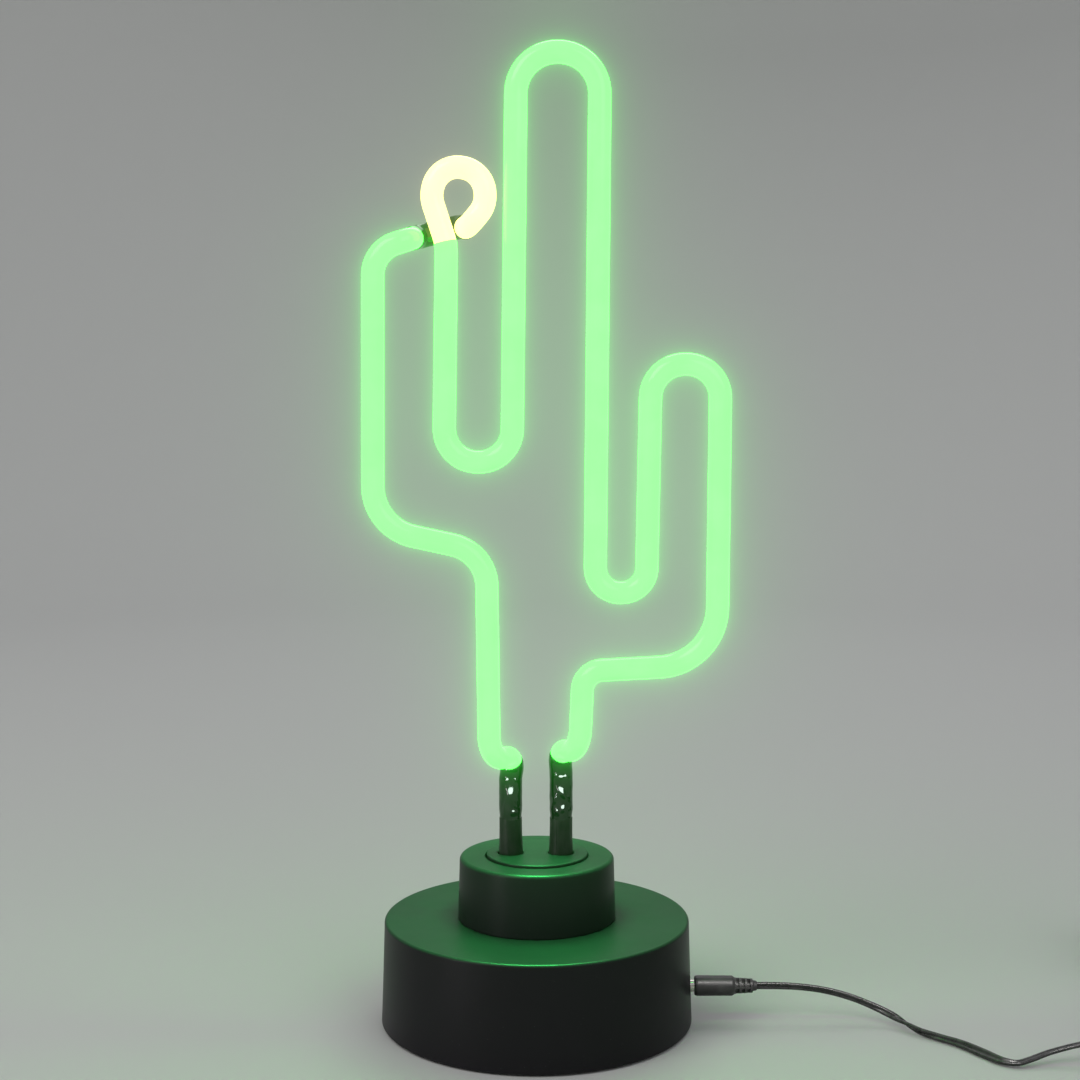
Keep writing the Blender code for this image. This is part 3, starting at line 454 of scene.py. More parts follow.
def circuit_board():
    """Green solder mask over a grid of copper tracks."""
    tree, shader = new_finish("circuit_board", (0.02, 0.14, 0.05), 0.35)
    tracks = pattern(tree, "Brick", 130, (1, 1, 0), **{"Mortar Size": 0.03, "Brick Width": 1.3})
    weave = pattern(tree, "Noise", 1500, Detail=2)
    tint(tree, shader, tracks, (0.012, 0.10, 0.035), (0.05, 0.24, 0.08), (0.2, 0.8))
    wear(tree, shader, weave, 0.25, 0.4)
    relief(tree, shader, tracks, 0.00004, 0.8)


def winding_tape():
    """Glossy yellow tape wound in overlapping layers round the transformer."""
    tree, shader = new_finish("winding_tape", (0.75, 0.55, 0.06), 0.3)
    layers = pattern(tree, "Wave", 60, (0.1, 0.1, 1), Distortion=0.6, Detail=2)
    tint(tree, shader, layers, (0.62, 0.42, 0.03), (0.80, 0.62, 0.10))
    wear(tree, shader, layers, 0.2, 0.35)
    relief(tree, shader, layers, 0.00008, 0.6)


def copper_winding():
    """Enamelled copper in close turns."""
    tree, shader = new_finish("copper_winding", (0.72, 0.33, 0.15), 0.25, 1.0)
    turns = pattern(tree, "Wave", 420, Distortion=0.4)
    tint(tree, shader, turns, (0.40, 0.15, 0.06), (0.80, 0.40, 0.20))
    wear(tree, shader, turns, 0.2, 0.35)
    relief(tree, shader, turns, 0.0003, 0.8)


def grained(slot, dark, light, roughness, scale, depth, metallic=0.0, stretch=(1, 1, 1)):
    """A finish with grain of one scale in its colour, gloss and surface."""
    tree, shader = new_finish(slot, light, sum(roughness) / 2, metallic)
    grain = pattern(tree, "Noise", scale, stretch, Detail=4)
    tint(tree, shader, grain, dark, light)
    wear(tree, shader, grain, *roughness)
    relief(tree, shader, grain, depth, 0.5)
    return shader


def make_finishes():
    lit_glass("lit_green_glass", (0.06, 0.30, 0.06), (0.047, 0.97, 0.047), (0.050, 1.0, 0.050), 6.5)
    lit_glass("lit_cream_glass", (0.45, 0.36, 0.24), (0.97, 0.89, 0.25), (1.0, 0.93, 0.27), 2.0)
    black_paint()
    boot_rubber()
    base_plastic()
    nickel()
    moulded_pvc()
    lead_pvc()
    felt()
    circuit_board()
    winding_tape()
    copper_winding()
    glass = grained("clear_glass", (0.9, 0.93, 0.93), (0.97, 0.98, 0.98), (0.02, 0.08), 300, 0.00002)
    glass.inputs["Transmission Weight"].default_value = 0.9
    grained("brass", (0.62, 0.44, 0.18), (0.82, 0.63, 0.32), (0.2, 0.36), 900, 0.00003, 1.0, (1, 1, 0.1))
    grained("dark_plastic", (0.018, 0.018, 0.02), (0.034, 0.034, 0.036), (0.38, 0.52), 2600, 0.00004)
    grained("steel", (0.48, 0.48, 0.50), (0.68, 0.68, 0.70), (0.25, 0.42), 1200, 0.00003, 1.0)
    grained("ferrite", (0.035, 0.035, 0.04), (0.075, 0.073, 0.078), (0.5, 0.7), 3200, 0.00008)
    grained("aluminium", (0.62, 0.63, 0.65), (0.80, 0.81, 0.83), (0.28, 0.45), 1800, 0.00003, 1.0,
            (0.05, 1, 1))
    grained("capacitor_sleeve", (0.012, 0.02, 0.07), (0.03, 0.045, 0.12), (0.25, 0.4), 700, 0.00003)
    grained("ceramic_blue", (0.03, 0.14, 0.40), (0.07, 0.26, 0.60), (0.25, 0.45), 900, 0.0001)
    grained("red_silicone", (0.38, 0.02, 0.015), (0.56, 0.05, 0.03), (0.4, 0.55), 800, 0.00004)


def finish_frame_nodes():
    """Every CAD node that stays takes the finish of its slot in the record."""
    for part in frame["record"]["subparts"]:
        node = frame["nodes"][part["node"]]
        if not node.material_slots:
            node.data.materials.append(None)
        for place in node.material_slots:
            place.material = FINISHES[part["material_slot"]]


def settle(piece, body, slot, *nodes):
    """Give a new piece its finish and its body, and hide the CAD nodes that it stands for."""
    piece.data.materials.clear()
    piece.data.materials.append(FINISHES[slot])
    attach(piece, body)
    if nodes:
        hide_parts(*nodes)
    return piece


# The neon tube

def round_turn(name, turn):
    """The two corners of a round turn between two upright runs of the outline."""
    left, right, height = turn
    radius = (right - left) / 2 - TURN_EASE
    return [(name + "_a", (left, FRONT, height), radius),
            (name + "_b", (right, FRONT, height), radius)]


def tube_corners():
    """Corners of the tube's centreline from the left electrode to the right one, as the CAD
    source has them: a name, a place and the radius of the bend there."""
    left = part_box("boot_left")
    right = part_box("boot_right")
    left_leg = (left[0].x + left[1].x) / 2
    right_leg = (right[0].x + right[1].x) / 2
    return [
        ("start", (left_leg, 0, LEG_BOTTOM - IN_BOOT), 0),
        ("left_ankle", (left_leg, 0, 0.1090), 0.0120),
        ("left_foot", (-0.0100, -0.0005, 0.1190), 0.0070),
        ("left_heel", (-0.0205, FRONT, 0.1210), 0.0120),
        ("left_elbow", (-0.0215, FRONT, 0.2115), 0.0185),
        ("left_shoulder", (-0.0700, FRONT, 0.2220), 0.0220),
        ("left_top", (-0.0690, FRONT, 0.3390), 0.0140),
        ("arm_tip", (-0.0530, FRONT, 0.3440), 0.0070),
        ("crossover_left", (-0.0515, BACK, 0.3455), 0.0070),
        ("crossover_right", (-0.0315, BACK, 0.3505), 0.0070),
        ("flower_tip", (-0.0295, FRONT, 0.3480), 0.0070),
        ("flower_right", (-0.0215, FRONT, 0.3580), 0.0110),
        ("flower_top_right", (-0.0220, FRONT, 0.3720), 0.0110),
        ("flower_top_left", (-0.0410, FRONT, 0.3750), 0.0105),
        ("flower_left", (-0.0445, FRONT, 0.3615), 0.0125),
        ("flower_root", (-0.0380, FRONT, 0.3415), 0.0200),
        *round_turn("left_fork", LEFT_FORK),
        *round_turn("crown", CROWN),
        *round_turn("right_fork", RIGHT_FORK),
        *round_turn("right_arm", RIGHT_ARM),
        ("right_elbow", (0.0775, FRONT, 0.1630), 0.0260),
        ("right_hip", (0.0200, FRONT, 0.1600), 0.0090),
        ("right_heel", (0.0185, FRONT, 0.1250), 0.0120),
        ("right_foot", (0.0100, -0.0005, 0.1215), 0.0070),
        ("right_ankle", (right_leg, 0, 0.1115), 0.0120),
        ("end", (right_leg, 0, LEG_BOTTOM - IN_BOOT), 0),
    ]


def bend_points(before, here, after, radius):
    """Points of the round bend at a corner."""
    arrive, leave = (here - before).normalized(), (after - here).normalized()
    turn = arrive.angle(leave)
    first = here - arrive * radius * math.tan(turn / 2)
    axis = arrive.cross(leave).normalized()
    centre = first + axis.cross(arrive) * radius
    chords = 2 * math.ceil(turn / BEND_STEP / 2)
    return [centre + Matrix.Rotation(turn * i / chords, 3, axis) @ (first - centre)
            for i in range(chords + 1)]


def straight_points(start, end):
    """Points between two ends, without either end."""
    count = max(1, math.ceil((end - start).length / STRAIGHT_STEP))
    return [start.lerp(end, i / count) for i in range(1, count)]


def tube_route():
    """The centreline's points, how far along it each is, and where each named bend is split."""
    corners = tube_corners()
    points = [Vector(corners[0][1])]
    splits = {}
    for before, here, after in zip(corners, corners[1:], corners[2:]):
        bend = bend_points(*(Vector(corner[1]) for corner in (before, here, after)), here[2])
        points += straight_points(points[-1], bend[0])
        splits[here[0]] = len(points) + round(SPLITS.get(here[0], 0.5) * (len(bend) - 1))
        points += bend
    last = Vector(corners[-1][1])
    points += straight_points(points[-1], last) + [last]
    along = distances(points)
    places = {name: along[i] for name, i in splits.items()}
    places["start"], places["end"] = 0.0, along[-1]
    return points, along, places


def distances(points):
    """How far along a line each of its points is."""
    steps = [(b - a).length for a, b in zip(points, points[1:])]
    return np.concatenate([[0.0], np.cumsum(steps)])


def directions(points):
    """The line's direction at each point."""
    ends = [points[0]] + list(points) + [points[-1]]
    return [(after - before).normalized() for before, after in zip(ends, ends[2:])]


def carried_sides(points):
    """A side direction at each point, carried along the line without twist."""
    ways = directions(points)
    side = ways[0].orthogonal().normalized()
    sides = []
    for i, way in enumerate(ways):
        if i:
            side = ways[i - 1].rotation_difference(way) @ side
        side = (side - way * side.dot(way)).normalized()
        sides.append(side.copy())
    return ways, sides


class Tube:
    """The bent tube's centreline, with a frame that a point on its surface is found from."""

    def __init__(self):
        points, self.along, self.places = tube_route()
        ways, sides = carried_sides(points)
        overs = [way.cross(side) for way, side in zip(ways, sides)]
        self.tracks = [np.array(track) for track in (points, ways, sides, overs)]

    def at(self, far):
        """Centre, direction, side and over at a distance along the tube."""
        return [Vector([np.interp(far, self.along, track[:, k]) for k in range(3)])
                for track in self.tracks]

    def ring(self, far, radius, sides=TUBE_SIDES, slip=None, swell=None):
        """A ring of points; slip moves each along the tube, and swell in or out."""
        made = []
        for j in range(sides):
            angle = 2 * math.pi * j / sides
            here = far + (slip(angle) if slip else 0.0)
            centre, _, side, over = self.at(here)
            out = side * math.cos(angle) + over * math.sin(angle)
            reach = radius
            if swell:
                reach += swell(here, angle, centre + out * radius, out)
            made.append(centre + out * reach)
        return made

    def stations(self, first, last):
        inside = [far for far in self.along if first + 0.0004 < far < last - 0.0004]
        return [first, *inside, last]


def glass_section(tube, name, first, last, slot, nodes, splices=()):
    """A length of lit tube; each splice leaves a faint ring where two glasses were joined."""
    def swell(far, angle, place, out):
        return sum(SPLICE_SWELL * math.exp(-((far - splice) / SPLICE_SPAN) ** 2) for splice in splices)

    rings = [tube.ring(far, TUBE_RADIUS, swell=swell) for far in tube.stations(first, last)]
    return settle(skin(name, rings), SIGN, slot, *nodes)


def paint_ripple(far, angle):
    """Unevenness of the brushed paint, from none to 0.18 mm."""
    broad = math.sin(far * 640 + 1.1) * math.cos(angle - 0.7)
    fine = 0.5 * math.sin(far * 1180 + 2 * angle) + 0.3 * math.sin(3 * angle - far * 500)
    return 0.00005 * (1.8 + broad + fine)


def paint_runs(place, out, runs):
    """How far the runs and drops of paint on a leg's front stand out at a place on it."""
    if out.y > 0:
        return 0.0
    height = 0.0
    for x, z, rise, half_width, half_length, lean in runs:
        turn = math.radians(lean)
        dx, dz = place.x - x, place.z - z
        across = dx * math.cos(turn) + dz * math.sin(turn)
        along = dz * math.cos(turn) - dx * math.sin(turn)
        height += rise * math.exp(-(across / half_width) ** 2 - (along / half_length) ** 2)
    return height * min(1.0, -3 * out.y)


def painted_section(tube, name, first, last, node, brushed_ends, runs=()):
    """The skin of paint over a length of tube; a brushed end has a slightly uneven edge."""
    def edge(angle, phase):
        return EDGE_UNEVEN * (math.sin(angle + phase) + 0.5 * math.sin(3 * angle + phase))

    def swell(far, angle, place, out):
        from_end = min(far - first if brushed_ends[0] else 1.0, last - far if brushed_ends[1] else 1.0)
        full = ease(from_end / EDGE_RISE)
        if not all(brushed_ends):
            low, high = BOOT_FADE
            full = min(full, ease((place.z - low) / (high - low)))
        return full * (PAINT - THIN_PAINT + paint_ripple(far, angle) + paint_runs(place, out, runs))

    rings = []
    stations = [*np.arange(first, last, PAINT_STEP), last]
    for far in stations:
        near_start = math.exp(-(far - first) / EDGE_REACH) if brushed_ends[0] else 0.0
        near_end = math.exp(-(last - far) / EDGE_REACH) if brushed_ends[1] else 0.0
        rings.append(tube.ring(far, TUBE_RADIUS + THIN_PAINT, PAINT_SIDES, swell=swell,
                               slip=lambda a, s=near_start, e=near_end: s * edge(a, 0.8) - e * edge(a, 2.1)))
    inner = TUBE_RADIUS - THIN_PAINT
    if brushed_ends[0]:
        rings.insert(0, tube.ring(first, inner, PAINT_SIDES, slip=lambda a: edge(a, 0.8)))
    if brushed_ends[1]:
        rings.append(tube.ring(last, inner, PAINT_SIDES, slip=lambda a: -edge(a, 2.1)))
    return settle(skin(name, rings), SIGN, "black_paint", node)


def build_tube():
    tube = Tube()
    place = tube.places
    under = UNDER_PAINT
    glass_section(tube, "neon_left_arm", place["left_foot"] - under, place["arm_tip"] + under,
                  "lit_green_glass", ["glass_left_arm"])
    joint = place["flower_root"] - FLOWER_JOINT
    glass_section(tube, "neon_flower", place["flower_tip"] - under, joint,
                  "lit_cream_glass", ["glass_flower"])
    glass_section(tube, "neon_trunk", joint, place["right_foot"] + under,
                  "lit_green_glass", ["glass_stem", "glass_trunk", "glass_right_arm"],
                  splices=[joint])
    painted_section(tube, "painted_left_leg", 0.0, place["left_foot"], "painted_leg_left",
                    (False, True), LEFT_RUNS)
    painted_section(tube, "painted_return", place["arm_tip"], place["flower_tip"],
                    "painted_crossover", (True, True))
    painted_section(tube, "painted_right_leg", place["right_foot"], place["end"],
                    "painted_leg_right", (True, False), RIGHT_RUNS)


def build_boots():
    """The sleeves over the electrodes, a little loose and uneven at the foot."""
    for side, phase in (("left", 0.4), ("right", 2.6)):
        low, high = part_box("boot_" + side)
        middle = (low + high) / 2
        top, skirt = high.z, high.x - middle.x

        def sag(radius, height, angle):
            drop = (top - height) / 0.016
            ripple = 0.00003 * math.sin(9 * angle + phase) + 0.00002 * math.sin(17 * angle)
            lean = 0.00012 * min(1.0, max(0.0, drop)) * math.cos(angle - phase)
            edge = 0.00012 * math.sin(angle * 2 + phase) * max(0.0, 1 - drop * 4)
            outside = radius > 0.0049 and drop > 0.05
            return radius + (ripple + lean if outside else 0.0), height + edge

        profile = rounded([
            (0.00486, top, 0.00004), (0.00500, top, 0.00008), (0.00500, top - 0.0034, 0.004),
            (0.00510, top - 0.0114, 0.004), (0.00533, top - 0.0152, 0.0015),
            (skirt - 0.00018, top - 0.0174, 0.002), (skirt - 0.00015, low.z, 0.0003),
            (0.0045, low.z, 0.0002), (0.0045, top - 0.0040, 0.0005), (0.00486, top - 0.0026, 0.0003)],
            closed=True)
        boot = lathe("boot_sleeve_" + side, profile, (middle.x, middle.y, 0), steps=72, loop=True,
                     change=sag)
        settle(boot, SIGN, "boot_rubber", "boot_" + side)


# The base

def build_drum():
    """The lower shell, with its draft, its rounded top edge and the opening for the jack."""
    low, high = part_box("base_housing")
    radius, top = high.x, high.z
    draft, wall, seat = 0.0016, 0.0025, 0.0330
    profile = rounded([
        (seat, top, 0.0002), (radius - draft, top, 0.0013), (radius - 0.0006, 0.016, 0),
        (radius, low.z, 0.0005), (radius - wall, low.z, 0.0003),
        (radius - wall - draft, top - wall, 0.001), (seat, top - wall, 0.0003)],
        closed=True, step_deg=11)
    drum = lathe("drum_shell", profile, steps=192, loop=True)
    axis = jack_axis()
    opening = lathe("opening", rounded([
        (0.0049, radius - 0.008, 0), (0.0049, radius - 0.0011, 0.0002), (0.0054, radius - 0.0004, 0),
        (0.0054, radius + 0.004, 0)]), (0, 0, axis), "x", 48)
    cut(drum, opening)
    settle(drum, SIGN, "base_plastic", "base_housing")


def jack_axis():
    """Height of the plug's axis."""
    low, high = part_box("plug_barrel")
    return (low.z + high.z) / 2


def build_collar():
    """The upper shell, rounded over at its top edge, with a fine line where it meets the drum."""
    low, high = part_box("base_collar")
    drum_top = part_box("base_housing")[1].z
    radius, top, hole = high.x, high.z, 0.0229
    profile = rounded([
        (hole, top, 0.0004), (radius - 0.0008, top, 0.0018), (radius, drum_top + 0.0004, 0.0002),
        (radius - 0.0003, drum_top + 0.0001, 0), (0.0327, drum_top + 0.0001, 0),
        (0.0327, low.z, 0.0002), (0.0310, low.z, 0.0002), (0.0315, top - 0.0025, 0.0005),
        (hole, top - 0.0025, 0.0002)], closed=True, step_deg=11)
    settle(lathe("collar_shell", profile, steps=144, loop=True), SIGN, "base_plastic",
           "base_collar")


def build_disc():
    """The inset disc with a hole for each boot, sitting a little to one side in its recess."""
    low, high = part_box("inset_disc")
    off_centre = 0.00018
    radius = high.x
    profile = rounded([(0.0001, high.z, 0), (radius, high.z, 0.0006), (radius, low.z, 0.0002),
                       (0.0001, low.z, 0)])
    disc = lathe("disc_insert", profile, (off_centre, 0, 0), steps=144)
    holes = []
    for side in ("left", "right"):
        box_low, box_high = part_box("boot_" + side)
        x = (box_low.x + box_high.x) / 2
        outline = [(0.0058, low.z - 0.001), (0.0058, high.z - 0.0003), (0.0061, high.z),
                   (0.0061, high.z + 0.001)]
        holes.append(lathe("hole_" + side, outline, (x, 0, 0), steps=56))
    cut(disc, *holes)
    settle(disc, SIGN, "base_plastic", "inset_disc")


# The plug

def slotted(start, end, rings, depth, slots=2, twist=math.pi / 4):
    """Grooves part of the way round a strain relief, each ring turned by `twist` from the last."""
    pitch = (end - start) / rings

    def change(radius, height, angle):
        number = math.floor((height - start) / pitch)
        inside = ((height - start) / pitch) % 1.0
        if 0 <= number < rings and 0.42 < inside < 0.93:
            if abs(math.sin((angle + number * twist) * slots / 2)) > 0.28:
                return radius - depth, height
        return radius, height

    return change


def build_plug():
    axis = (0, 0, jack_axis())
    low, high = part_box("plug_barrel")
    radius = (high.z - low.z) / 2
    profile = rounded([
        (radius, high.x, 0), (radius, low.x, 0.0003), (BARREL_BORE, low.x, 0.0002),
        (BARREL_BORE, high.x, 0)], closed=True)
    settle(lathe("plug_sleeve", profile, axis, "x", 56, loop=True), LEAD, "nickel", "plug_barrel")
    low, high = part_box("plug_insulator")
    profile = rounded([
        (INSULATOR_RADIUS, high.x, 0), (INSULATOR_RADIUS, low.x, 0.0003),
        (INSULATOR_BORE, low.x, 0.0002), (INSULATOR_BORE, high.x, 0)], closed=True)
    settle(lathe("plug_core", profile, axis, "x", 40, loop=True), LEAD, "dark_plastic",
           "plug_insulator")
    build_grip(axis)


def build_grip(axis):
    """The plug's moulded grip and its slotted, tapering strain relief."""
    low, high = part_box("plug_handle")
    start, end = low.x, high.x
    relief_start = start + GRIP_LENGTH
    body = rounded([
        (0.0001, start, 0), (0.0042, start, 0.0005), (0.0045, start + 0.0012, 0.001),
        (0.00445, start + 0.0168, 0.0012), (RELIEF_RADIUS, relief_start, 0.0004)],
        step_deg=12) + [(RELIEF_RADIUS, relief_start)]
    count = 60
    relief_end = end - 0.0020
    taper = [(RELIEF_RADIUS + (RELIEF_TIP - RELIEF_RADIUS) * i / count,
              relief_start + (relief_end - relief_start) * i / count)
             for i in range(1, count + 1)]
    tip = rounded([(RELIEF_TIP, relief_end, 0), (0.0024, relief_end + 0.0003, 0.0003),
                   (0.0021, end, 0.0003), (0.0001, end, 0)])
    first_ring = relief_start - 0.0006
    grip = lathe("plug_grip", body + taper + tip, axis, "x", 64, sharp_deg=40,
                 change=slotted(first_ring, first_ring + 0.0075, 3, 0.0014, slots=4, twist=0))
    settle(grip, LEAD, "moulded_pvc", "plug_handle")


def build_jack_face():
    """The moulded ring of the socket, seen in the drum's opening round the plug."""
    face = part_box("power_jack")[1].x
    profile = rounded([
        (0.00445, face - 0.0012, 0), (0.00445, face + 0.0001, 0.0003), (0.0032, face + 0.0001, 0.0004),
        (0.0032, face - 0.0012, 0)], closed=True)
    settle(lathe("jack_ring", profile, (0, 0, jack_axis()), "x", 56, loop=True), SIGN,
           "dark_plastic")


# The lead, its coil and the adapter

def catmull_rom(a, b, c, d, t):
    """A point on the centripetal spline between b and c, which may carry a fourth number."""
    def gap(p, q):
        return math.sqrt((q.xyz - p.xyz).length)

    k1 = gap(a, b)
    k2 = k1 + gap(b, c)
    k3 = k2 + gap(c, d)
    u = k1 + (k2 - k1) * t
    ab = a.lerp(b, u / k1)
    bc = b.lerp(c, (u - k1) / (k2 - k1))
    cd = c.lerp(d, (u - k2) / (k3 - k2))
    abc = ab.lerp(bc, u / k2)
    bcd = bc.lerp(cd, (u - k1) / (k3 - k1))
    return abc.lerp(bcd, (u - k1) / (k2 - k1))


def coil_stops():
    """Turns of the coil, winding in and out through its layers from the top one to the bottom."""
    low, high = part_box("cord_coil")
    centre = (low + high) / 2
    outer = (high.x - low.x) / 2 - 0.0020
    top = centre.z + LAYER_PITCH * (COIL_LAYERS - 1) / 2
    total = COIL_TURNS * 360 + COIL_LEAVES - COIL_ARRIVES
    per_layer = total / COIL_LAYERS
    count = round(total / COIL_STEP)
    stops = []
    for i in range(count + 1):
        turned = total * i / count
        layer = min(COIL_LAYERS - 1, int(turned / per_layer))
        into = turned / per_layer - layer
        inward = into if layer % 2 == 0 else 1 - into
        drop = sum(ease((turned - per_layer * edge) / LAYER_STEP + 0.5)
                   for edge in range(1, COIL_LAYERS))
        angle = math.radians(COIL_ARRIVES + turned)
        radius = outer - inward * per_layer / 360 * COIL_PITCH + 0.00018 * math.sin(1.7 * angle)
        height = top - drop * LAYER_PITCH + 0.00012 * math.sin(2.3 * angle + 1)
        place = Vector((centre.x, centre.y, 0)) + on_axis("z", radius, height, angle)
        stops.append((tuple(place), 360 + 16 * math.sin(0.83 * angle)))
    return stops


def ease(t):
    t = min(1.0, max(0.0, t))
    return t * t * (3 - 2 * t)


def lead_line():
    """Fine points along the whole lead, with the turn of its flat side at each."""
    inside_plug = ((LEAD_STOPS[0][0][0] - 0.0030, 0.0, jack_axis()), 82)
    stops = [inside_plug, *LEAD_STOPS, *coil_stops(), *TAIL_STOPS]
    stops = [Vector((*place, math.radians(turn))) for place, turn in stops]
    padded = [2 * stops[0] - stops[1], *stops, 2 * stops[-1] - stops[-2]]
    line = [stops[0]]
    for a, b, c, d in zip(padded, padded[1:], padded[2:], padded[3:]):
        count = max(1, round((c.xyz - b.xyz).length / LEAD_STEP))
        line += [catmull_rom(a, b, c, d, i / count) for i in range(1, count + 1)]
    return line


def twin_outline(spread):
    """The outline of two cores that touch, as points of (across, over)."""
    half = (LEAD_WIDTH / 2 - CORE_RADIUS) * spread
    reach = math.acos(-min(0.985, half / CORE_RADIUS)) - 0.08
    points = []
    for way in (1, -1):
        for j in range(10):
            angle = -reach + 2 * reach * j / 9
            points.append((way * (half + CORE_RADIUS * math.cos(angle)),
                           way * CORE_RADIUS * math.sin(angle)))
    return points


def build_lead():
    """The two-core lead from the plug, along the surface, round the coil and into the adapter."""
    line = lead_line()
    centres = [point.xyz for point in line]
    rings = []
    for point, way in zip(line, directions(centres)):
        side = way.cross(Vector((0, 0, 1))).normalized()
        over = side.cross(way)
        turn = point.w
        across = side * math.cos(turn) + over * math.sin(turn)
        up = over * math.cos(turn) - side * math.sin(turn)
        parted = 1 + PARTED * math.exp(-((point.x - PARTED_AT) / PARTED_SPAN) ** 2)
        rings.append([point.xyz + across * a + up * b for a, b in twin_outline(parted)])
    lead = skin("power_cord", rings, sharp_deg=60)
    return settle(lead, LEAD, "lead_pvc", "cord_run", "cord_coil", "cord_tail"), centres


def build_tie():
    """A strap round the coil's turns, a little raised along its middle."""
    low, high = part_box("coil_tie")
    middle = (low + high) / 2
    thick = 0.0005
    half_x, half_z = (high.x - low.x) / 2 - thick / 2, (high.z - low.z) / 2 - thick / 2
    outline = rounded([(half_x, half_z, 0.0028), (-half_x, half_z, 0.0028),
                       (-half_x, -half_z, 0.0028), (half_x, -half_z, 0.0028)], closed=True)
    rings = []
    count = len(outline)
    for i, (x, z) in enumerate(outline):
        before, after = Vector(outline[i - 1]), Vector(outline[(i + 1) % count])
        way = (after - before).normalized()
        out = Vector((way.y, -way.x))
        if out.dot(Vector((x, z))) < 0:
            out = -out
        ring = []
        for across, off in ((-0.0025, -1), (-0.0025, 1), (-0.0010, 1.15), (0.0010, 1.15), (0.0025, 1),
                            (0.0025, -1)):
            place = Vector((x, z)) + out * off * thick / 2
            ring.append(Vector((middle.x + place.x, middle.y + across, middle.z + place.y)))
        rings.append(ring)
    return settle(skin("coil_strap", rings, loop=True), LEAD, "lead_pvc", "coil_tie")


def build_adapter():
    """The wall adapter: two shells with a seam, its blades and its strain relief."""
    made = []
    low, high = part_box("adapter_front_case")
    front = round_box("adapter_front", low, high, 0.0030, 6)
    made.append(settle(front, LEAD, "moulded_pvc", "adapter_front_case"))
    low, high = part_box("adapter_back_case")
    back = round_box("adapter_back", low, high, 0.0020, 5)
    slots = []
    for side in ("left", "right"):
        blade_low, blade_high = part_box("adapter_blade_" + side)
        margin = Vector((0.0004, 0.0008, 0))
        slots.append(round_box("slot_" + side, blade_low - margin,
                               Vector((*(blade_high + margin).xy, high.z + 0.001)), 0.0003, 2))
    cut(back, *slots)
    made.append(settle(back, LEAD, "moulded_pvc", "adapter_back_case"))
    for side in ("left", "right"):
        made.append(build_blade(side))
    made.append(build_adapter_relief())
    return made


def build_blade(side):
    """A flat contact blade with a rounded tip and a hole through it."""
    low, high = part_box("adapter_blade_" + side)
    blade = round_box("plug_blade_" + side, low, high, 0.00035, 3)
    middle = (low + high) / 2
    hole = lathe("hole", [(0.0015, low.x - 0.001), (0.0015, high.x + 0.001)],
                 (0, middle.y, high.z - 0.0042), "x", 28)
    cut(blade, hole)
    return settle(blade, LEAD, "brass", "adapter_blade_" + side)


def build_adapter_relief():
    """The adapter's strain relief, tapering towards the lead."""
    low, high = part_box("adapter_strain_relief")
    middle = (low + high) / 2
    count = 48
    span = high.y - low.y
    taper = [(0.0023 + 0.0013 * i / count, low.y + 0.0002 + (span - 0.0002) * i / count)
             for i in range(count + 1)]
    profile = [(0.0001, low.y), (0.0020, low.y), *taper, (0.0001, high.y)]
    piece = lathe("adapter_relief", profile, (middle.x, 0, middle.z), "y", 56, sharp_deg=40,
                  change=slotted(low.y + 0.001, high.y - 0.003, 4, 0.0007))
    return settle(piece, LEAD, "moulded_pvc", "adapter_strain_relief")


# The studio

def add_camera():
    data = bpy.data.cameras.new("camera")
    data.lens = CAMERA_LENS
    data.sensor_width = SENSOR_WIDTH
    data.clip_start, data.clip_end = 0.01, 50
    camera = bpy.data.objects.new("camera", data)
    camera.location = CAMERA_PLACE
    camera.rotation_euler = (math.pi / 2 - CAMERA_PITCH, 0, -CAMERA_YAW)
    SCENE.collection.objects.link(camera)
    SCENE.camera = camera


def add_floor():
    """A pale floor that curves up into a wall far away all round."""
    profile = rounded([(0.001, -0.0003, 0), (2.3, -0.0003, 0.9), (2.3, 3.0, 0)], step_deg=6)
    floor = lathe("floor", profile, steps=96)
    work = bmesh.new()
    work.from_mesh(floor.data)
    bmesh.ops.delete(work, geom=[f for f in work.faces if len(f.verts) > 4 and f.calc_center_median().z > 1],
                     context="FACES")
    work.to_mesh(floor.data)
    work.free()
    made = bpy.data.materials.new("floor")
    made.use_nodes = True
    shader = made.node_tree.nodes["Principled BSDF"]
    shader.inputs["Base Color"].default_value = (0.62, 0.62, 0.61, 1)
    shader.inputs["Roughness"].default_value = 0.75
    shader.inputs["Specular IOR Level"].default_value = 0.2
    floor.data.materials.append(made)


def add_light(name, place, aim, size, power, colour=(1, 1, 1), on=()):
    """A soft box; with `on` it lights only those pieces."""
    data = bpy.data.lights.new(name, "AREA")
    data.shape = "RECTANGLE"
    data.size, data.size_y = size
    data.energy = power
    data.color = colour
    light = bpy.data.objects.new(name, data)
    light.location = place
    light.rotation_euler = (Vector(aim) - Vector(place)).to_track_quat("-Z", "Y").to_euler()
    light.visible_camera = False
    SCENE.collection.objects.link(light)
    if on:
        lit = bpy.data.collections.new(name + "_lights")
        for piece in on:
            lit.objects.link(bpy.data.objects[piece])
        light.light_linking.receiver_collection = lit


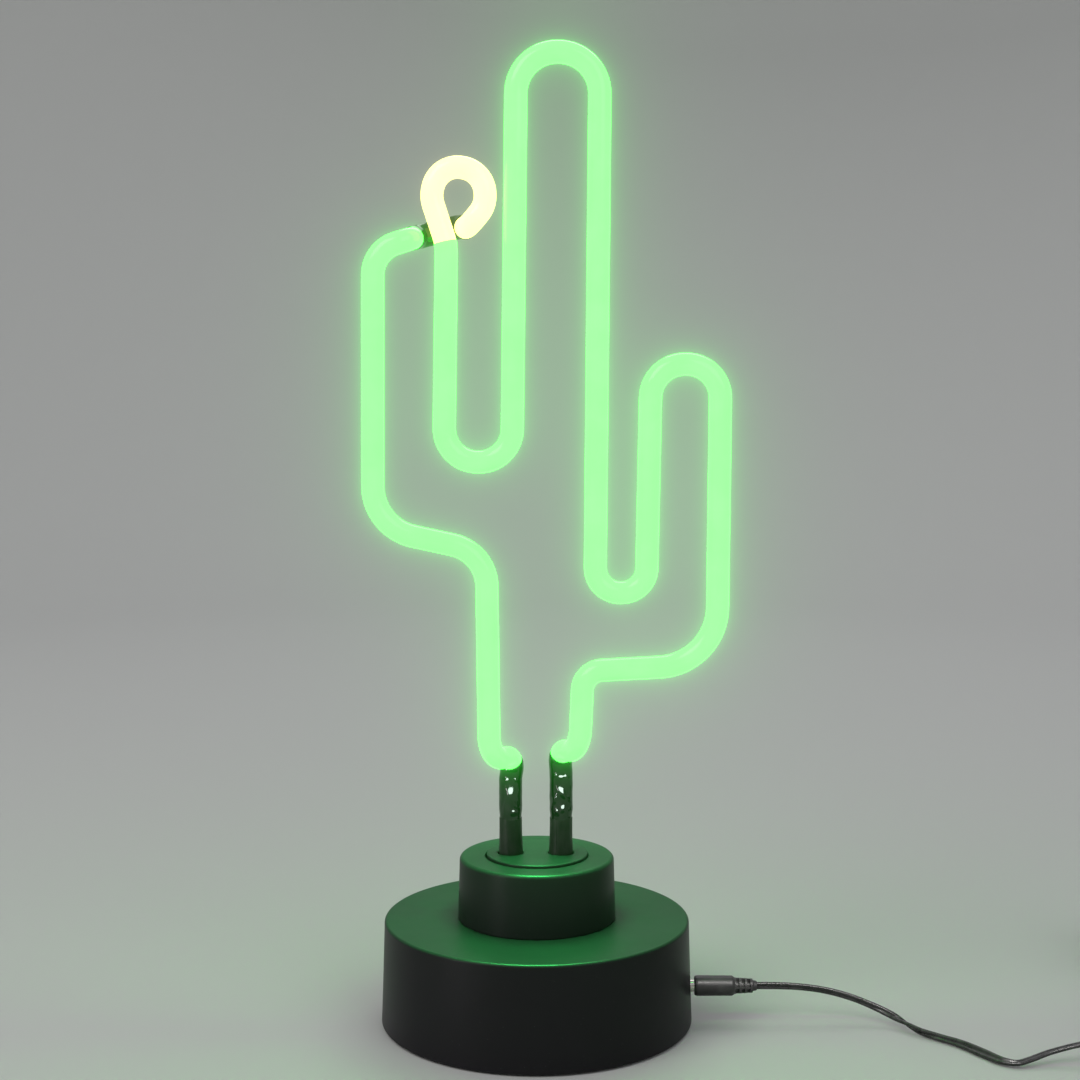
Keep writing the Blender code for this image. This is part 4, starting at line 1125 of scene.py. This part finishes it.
def add_neon_glints():
    """Soft lights for the shine on single pieces; the green one stands for the tube's own light."""
    legs = ["painted_left_leg", "painted_right_leg"]
    boots = ["boot_sleeve_left", "boot_sleeve_right"]
    base = ["drum_shell", "collar_shell", "disc_insert"]
    add_light("glint", place=(0.0, -0.30, 0.37), aim=(0, 0, 0.10), size=(0.75, 0.60), power=40.0,
              colour=(0.80, 1.0, 0.88), on=legs)
    add_light("edge_strip", place=(-0.75, -0.52, 0.10), aim=(0, 0, 0.10), size=(0.05, 0.30), power=1.6,
              colour=(1.0, 0.88, 0.96), on=legs + boots + base)
    add_light("glow", place=(0.0, -0.01, 0.25), aim=(0, -0.01, 0.0), size=(0.10, 0.10), power=5.4,
              colour=(0.07, 1.0, 0.2), on=base)
    add_light("lead_sheen", place=(0.14, -0.22, 0.32), aim=(0.14, 0, 0.01), size=(0.24, 0.04), power=1.4,
              colour=(1.0, 0.97, 0.94), on=["plug_grip", "power_cord"])


def add_halo():
    """The soft halo that lit glass has for an eye or a lens."""
    SCENE.use_nodes = True
    tree = SCENE.node_tree
    tree.nodes.clear()
    picture = tree.nodes.new("CompositorNodeRLayers")
    halo = tree.nodes.new("CompositorNodeGlare")
    halo.glare_type = "BLOOM"
    halo.quality = "HIGH"
    halo.inputs["Threshold"].default_value = 1.2
    halo.inputs["Strength"].default_value = 0.26
    halo.inputs["Size"].default_value = 0.45
    shown = tree.nodes.new("CompositorNodeComposite")
    tree.links.new(picture.outputs["Image"], halo.inputs["Image"])
    tree.links.new(halo.outputs["Image"], shown.inputs["Image"])


def add_studio_light():
    world = bpy.data.worlds.new("studio")
    world.use_nodes = True
    back = world.node_tree.nodes["Background"]
    back.inputs["Color"].default_value = (0.92, 0.95, 1.0, 1)
    back.inputs["Strength"].default_value = 0.45
    SCENE.world = world
    aim = (0.0, 0.0, 0.15)
    add_light("key", place=(-1.1, -1.0, 1.5), aim=aim, size=(1.1, 1.1), power=12.0,
              colour=(1.0, 0.98, 0.96))
    add_light("fill", place=(0.9, -1.3, 1.1), aim=aim, size=(1.2, 1.2), power=5.0,
              colour=(0.96, 0.98, 1.0))
    add_light("back", place=(0.3, 1.5, 1.6), aim=aim, size=(1.4, 0.8), power=6.0)
    SCENE.view_settings.view_transform = "Standard"


add_camera()
add_floor()
add_studio_light()
make_finishes()
finish_frame_nodes()
cord, cord_path = build_lead()
build_plug()
strap = build_tie()
adapter = build_adapter()
build_jack_face()
build_drum()
build_collar()
build_disc()
build_boots()
build_tube()
add_neon_glints()
add_halo()
